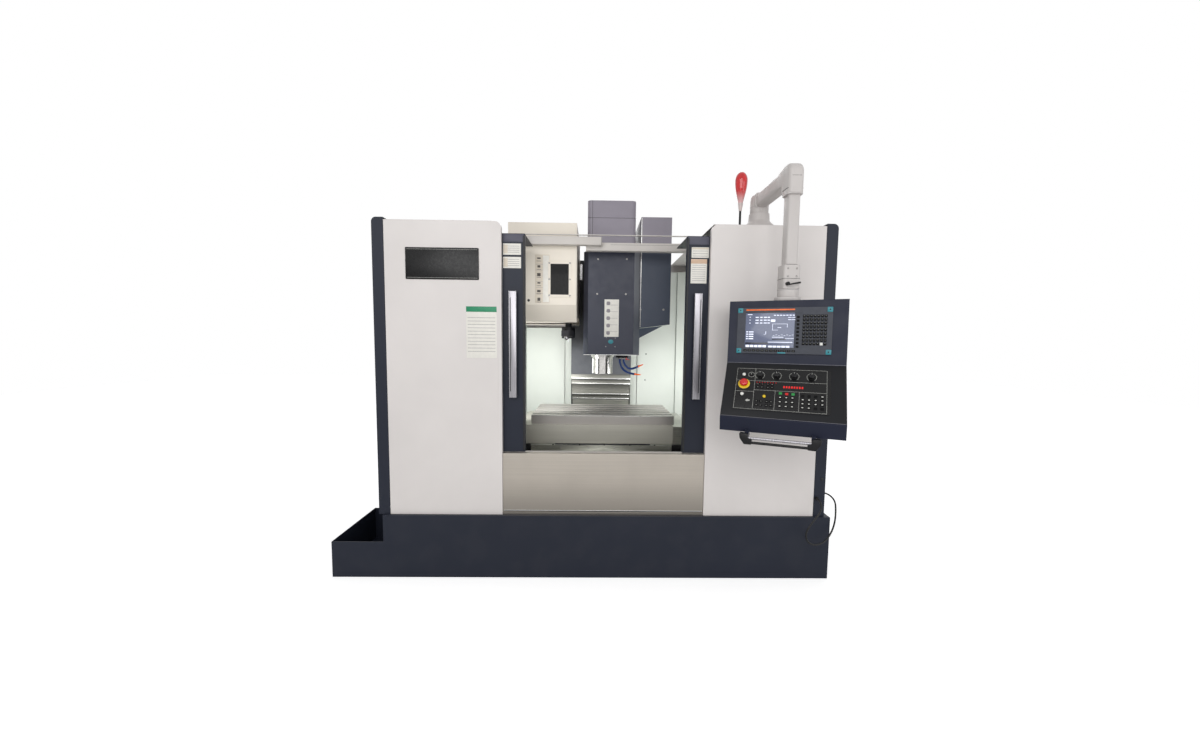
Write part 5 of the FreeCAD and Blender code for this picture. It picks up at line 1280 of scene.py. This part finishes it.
class MACHINE_OT_keys(bpy.types.Operator):
    """Fit the sloping key panel: engraved frames, keys, lamps, display and bezels"""
    bl_idname = "machine.keys"
    bl_label = "Key part"

    def execute(self, context):
        copies(KEYS, "slope_skin", "slope_paint", slab(568, 318, -.4, .5, 2, .3), [(0, 165)])
        copies(KEYS, "slope_fold", "fold_grey", slab(568, 2, .2, .9, .8, .3), [(0, 8)])
        copies(KEYS, "panel_skin", "gloss_black", slab(448, 246, 3.8, 4.5, 4, .2),
               [(-7, 170)])
        self.engrave()
        self.caps(PANEL_LEVEL + context.scene.machine_sizes.key_rise / MILLIMETRE)
        self.display()
        self.switches()
        self.handle()
        return {"FINISHED"}

    def engrave(self):
        """The thin frames on the panel, and 25 strokes of 280 degrees about each knob."""
        lines = [(-12, 289, 424, 1.2), (-12, 52, 424, 1.2), (-224, 170, 1.2, 238),
                 (200, 170, 1.2, 238), (-133, 170, 1.2, 238), (-32, 107, 1.2, 110),
                 (79, 107, 1.2, 110), (-12, 216, 424, 1.2), (-178, 152, 90, 1.2),
                 (34, 162, 333, 1.2)]
        frames = [KEYS.at(slab(wide, tall, *ENGRAVED, .4, .1), u, v)
                  for u, v, wide, tall in lines]
        points, faces = slab(3.4, 2, *ENGRAVED, .3, .1)
        ring = [((points + (22, 0, 0)) @ np.array(Matrix.Rotation(-a, 3, "Z")), faces)
                for a in np.radians(np.linspace(-140, 140, 25) + 90)]
        scales = [KEYS.at(joined(*ring), u, DIAL_ROW) for u in DIALS]
        piece("panel_frames", "engraving", "control_box", *frames, *scales)

    def caps(self, rise):
        """The square keys in their three fields, with the marks on them."""
        cap = slab(15, 13, PANEL_LEVEL + .2, rise + .6, 2, .8)
        left = grid([-116, -96, -68, -48], [197, 179, 98, 76])
        middle = grid([-7, 21, 49], [126, 101, 77])
        right = grid([95, 123, 152, 181], [141, 120, 98, 76])
        top = rise + .85
        copies(KEYS, "panel_keys", "key_plastic", cap, np.concatenate([left, middle, right]))
        copies(KEYS, "panel_marks", "key_pale", slab(8, 4.4, rise + .3, top, 1, .15),
               np.concatenate([middle, right[3:14]]))
        copies(KEYS, "left_marks", "engraving", slab(6, 1.3, rise + .3, top, .4, .1), left)
        copies(KEYS, "key_green", "key_green", cap, [(-7, 149), (51, 147)])
        copies(KEYS, "key_red", "key_red", cap, [(22, 147)])
        dome = spun([(7.5, 4), (7.5, 7), (6.6, 9), (4, 10.2), (.4, 10.6)], 28)
        copies(KEYS, "key_yellow", "key_yellow", dome, [(-82, 127)])

    def display(self):
        """The row of lamps, and the lit cells of the display behind their window."""
        copies(KEYS, "panel_lamps", "display_red",
               spun([(1.9, 4), (1.9, 5.2), (1.2, 5.9), (.2, 6)], 12),
               [(-122 + 13 * n, 208) for n in range(8)])
        copies(KEYS, "display_window", "gloss_black", slab(98, 24, 4.2, 5, 2, .3),
               [(50, 186)])
        copies(KEYS, "display_cells", "display_red", slab(7, 12, 4.9, 5.25, 1, .1),
               [(8 + 12 * n, 186) for n in range(8)])

    def switches(self):
        """The rings under the buttons, the key switch and the arrow."""
        ring = spun([(29, 4), (29, 5.2), (27, 6), (15, 6.2), (14, 5)], 48)
        copies(KEYS, "stop_ring", "key_yellow", ring, [STOP_BUTTON])
        bezel = spun([(13, 4), (13, 6), (11.5, 7.2), (9.4, 7.3), (9, 6)], 32)
        copies(KEYS, "button_bezels", "knob_black", bezel,
               [*WHITE_BUTTONS.values(), KEY_SWITCH])
        switch = spun([(8.8, 4), (8.8, 12), (7.6, 13.5), (.4, 13.6)], 28)
        copies(KEYS, "key_switch", "knob_black", switch, [KEY_SWITCH])
        halo = spun([(15.5, 4.3), (15.5, 4.8), (13.8, 4.8), (13.8, 4.3)], 36)
        copies(KEYS, "switch_halo", "engraving", halo, [KEY_SWITCH])
        copies(KEYS, "key_slot", "engraving", slab(2, 9, 13.3, 13.9, .8, .2), [KEY_SWITCH])
        arrow = np.array([(-11, 0), (0, 9), (0, 4), (11, 4), (11, -4), (0, -4), (0, -9)])
        levels = [np.column_stack([arrow, np.full(7, w)]) for w in (4.3, 4.8)]
        copies(KEYS, "panel_arrow", "engraving", lattice(levels), [(-160, 100)])

    def handle(self):
        """The two bars of the box's handle between their stays."""
        for name, z, finish in (("handle_bar_upper", 997, "handle_steel"),
                                ("handle_bar_lower", 975, "knob_black")):
            path = run_past([(-148, z, HANDLE_LEVEL), (148, z, HANDLE_LEVEL)], 30)
            piece(name, finish, "control_box", BOX.at(swept(path, circle(6.6, 20))))
        for number, side in enumerate((-1, 1)):
            stay = np.array([(183, 1020, 4), (146, 1020, 4), (141, 1000, 8), (124, 990, 6),
                             (124, 967, 5), (160, 967, 8), (180, 996, 12)], float)
            stay = cutout(rounded(stay * (side, 1, 1), 4), HANDLE_LEVEL - 23, HANDLE_LEVEL + 13,
                          2)
            piece(f"handle_stay_{number}", "knob_black", "control_box", BOX.at(stay))


class MACHINE_OT_buttons(bpy.types.Operator):
    """Turn the moving controls: stop button, two white buttons and four rotary knobs"""
    bl_idname = "machine.buttons"
    bl_label = "Buttons and knobs"

    def execute(self, context):
        stop = spun([(13, -2), (13, 11), (12, 12.5), (18, 13.5), (20.6, 16), (21, 20),
                     (19.8, 24.5), (16.5, 27.6), (11, 29.3), (4, 29.9), (.4, 30)], 56)
        made = piece("stop_cap", "button_red", "stop_button", KEYS.at(stop, *STOP_BUTTON),
                     angle=45)
        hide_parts("stop_button")
        white = spun([(8.5, -2), (8.5, 9), (8.2, 10.4), (7.2, 11.4), (4.5, 11.9), (.4, 12)], 40)
        for name, place in WHITE_BUTTONS.items():
            made = piece(f"{name}_cap", "button_white", name, KEYS.at(white, *place), angle=45)
            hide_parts(name)
        grip = slab(6, 27.6, 20, 26, 2.4, 1)
        mark = slab(1.4, 9, 25.8, 26.3, .5, .1)
        for number, u in enumerate(DIALS, start=1):
            name = f"dial_{number}"
            made = piece(f"{name}_knob", "knob_black", name,
                         KEYS.at(joined(self.knob(), grip), u, DIAL_ROW))
            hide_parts(name)
            piece(f"{name}_mark", "key_pale", name, KEYS.at(mark, u, DIAL_ROW + 8))
        return {"FINISHED"}

    def knob(self):
        """A turned knob whose flank dips by 4.5 per cent where cos 16 a is below -0.1."""
        angle = np.linspace(0, 2 * np.pi, 96, endpoint=False)
        flute = 1 - .045 * (np.cos(angle * 16) < -.1)
        levels = np.array([(15, 4.5), (15, 6), (14.6, 6.5), (14.2, 19), (13.4, 21.3),
                           (12, 22), (.4, 22)])
        ribbed = np.array([0, 0, 1, 1, .4, 0, 0])[:, None]
        radius = levels[:, :1] * (1 + ribbed * (flute - 1))
        return lattice(np.stack([radius * np.cos(angle), radius * np.sin(angle),
                                 levels[:, 1:] + 0 * angle], -1))


LAMPS = {
    # name: (place, aim, size, power)
    "key": ((-1.2, -5.4, 3.4), (0, .4, 1.2), (5.0, 3.0), 128),
    "fill": ((3.6, -4.4, 2.2), (0, .3, 1.1), (3.6, 3.0), 50),
    "back": ((.5, 5.2, 4.4), (0, 1.2, 1.4), (4.0, 2.6), 55),
    "cabin_left": ((-.50, .52, 1.22), (-.60, 1.3, 1.25), (.5, .4), 5.6),
    "cabin_right": ((.70, .62, 1.12), (.55, 1.4, 1.35), (.4, .4), 4.2),
    "magazine": ((-.40, .10, 1.78), (-.43, .46, 1.86), (.3, .4), .65),
}
# How bright the surroundings are as a light, and the floor's reach and drop in metres
SKY_FILL = .50
FLOOR_REACH = 14
FLOOR_DROP = .0005


class MACHINE_OT_studio(bpy.types.Operator):
    """Set the plain studio: pale floor, white surroundings and soft lamps"""
    bl_idname = "machine.studio"
    bl_label = "Studio"

    def execute(self, context):
        scene = context.scene
        scene.view_settings.view_transform = "Standard"
        self.surroundings(scene)
        self.floor(scene)
        for name, (place, aim, size, power) in LAMPS.items():
            light = bpy.data.lights.new(name, "AREA")
            light.shape = "RECTANGLE"
            light.size, light.size_y = size
            light.energy = power
            made = bpy.data.objects.new(name, light)
            scene.collection.objects.link(made)
            turn = (Vector(aim) - Vector(place)).to_track_quat("-Z", "Y")
            made.matrix_world = Matrix.Translation(place) @ turn.to_matrix().to_4x4()
        return {"FINISHED"}

    def surroundings(self, scene):
        """White for the camera, for gloss and through glass, and dimmer as a light."""
        scene.world = bpy.data.worlds.new("studio")
        scene.world.use_nodes = True
        tree = scene.world.node_tree
        ray = add_node(tree, "ShaderNodeLightPath").outputs
        seen = ray["Is Camera Ray"]
        for other in ("Is Glossy Ray", "Is Transmission Ray"):
            seen = add_node(tree, "ShaderNodeMath", {0: seen, 1: ray[other]},
                            operation="MAXIMUM").outputs[0]
        level = add_node(tree, "ShaderNodeMapRange",
                         {"Value": seen, "To Min": SKY_FILL, "To Max": 1.0})
        sky = tree.nodes["Background"].inputs
        sky["Color"].default_value = (1, 1, 1, 1)
        tree.links.new(level.outputs[0], sky["Strength"])

    def floor(self, scene):
        """A wide flat floor that the camera sees as white, with the machine's shadow on it."""
        across = np.linspace(-FLOOR_REACH, FLOOR_REACH, 15)
        u, v = np.meshgrid(across, across)
        points, faces = lattice(np.stack([u, v, 0 * u - FLOOR_DROP], -1), loop=False)
        mesh = bpy.data.meshes.new("floor")
        mesh.from_pydata(points.tolist(), [], faces)
        made = bpy.data.objects.new("floor", mesh)
        scene.collection.objects.link(made)
        recipe = Recipe("floor", Roughness=.6, Specular_IOR_Level=.2)
        recipe.finish(recipe.mix(recipe.noise(3, 3), (.86, .86, .86, 1), (.90, .90, .90, 1)))
        ray = recipe.add("ShaderNodeLightPath").outputs
        glow = recipe.times(ray["Is Camera Ray"], .55)
        recipe.shader.inputs["Emission Color"].default_value = (1, 1, 1, 1)
        recipe.tree.links.new(glow, recipe.shader.inputs["Emission Strength"])
        mesh.materials.append(recipe.material)


class MACHINE_PT_sidebar(bpy.types.Panel):
    """The machine's colours, sizes and steps"""
    bl_idname = "MACHINE_PT_sidebar"
    bl_label = "Machining Centre"
    bl_space_type = "VIEW_3D"
    bl_region_type = "UI"
    bl_category = "Machine"

    def draw(self, context):
        for title, group in (("Colours", context.scene.machine_colours),
                             ("Sizes", context.scene.machine_sizes)):
            self.layout.label(text=title)
            for name in group.__annotations__:
                self.layout.prop(group, name)
        for step in STEPS:
            self.layout.operator(step.bl_idname)


STEPS = (
    MACHINE_OT_camera, MACHINE_OT_finishes, MACHINE_OT_lead, MACHINE_OT_lamp, MACHINE_OT_hoses,
    MACHINE_OT_screws, MACHINE_OT_sheets, MACHINE_OT_doors, MACHINE_OT_cover_lips,
    MACHINE_OT_machine_trim, MACHINE_OT_arm, MACHINE_OT_screen, MACHINE_OT_keys,
    MACHINE_OT_buttons, MACHINE_OT_studio,
)
CLASSES = (MachineColours, MachineSizes, *STEPS, MACHINE_PT_sidebar)


def register():
    """Add the classes and the scene's groups of colours and sizes."""
    for kind in CLASSES:
        bpy.utils.register_class(kind)
    bpy.types.Scene.machine_colours = bpy.props.PointerProperty(type=MachineColours)
    bpy.types.Scene.machine_sizes = bpy.props.PointerProperty(type=MachineSizes)


def unregister():
    """Take them away again."""
    del bpy.types.Scene.machine_sizes
    del bpy.types.Scene.machine_colours
    for kind in reversed(CLASSES):
        bpy.utils.unregister_class(kind)


def main():
    """Run every step in order."""
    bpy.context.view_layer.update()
    register()
    for step in STEPS:
        getattr(bpy.ops.machine, step.bl_idname.split(".")[1])()


if __name__ == "__main__":
    main()
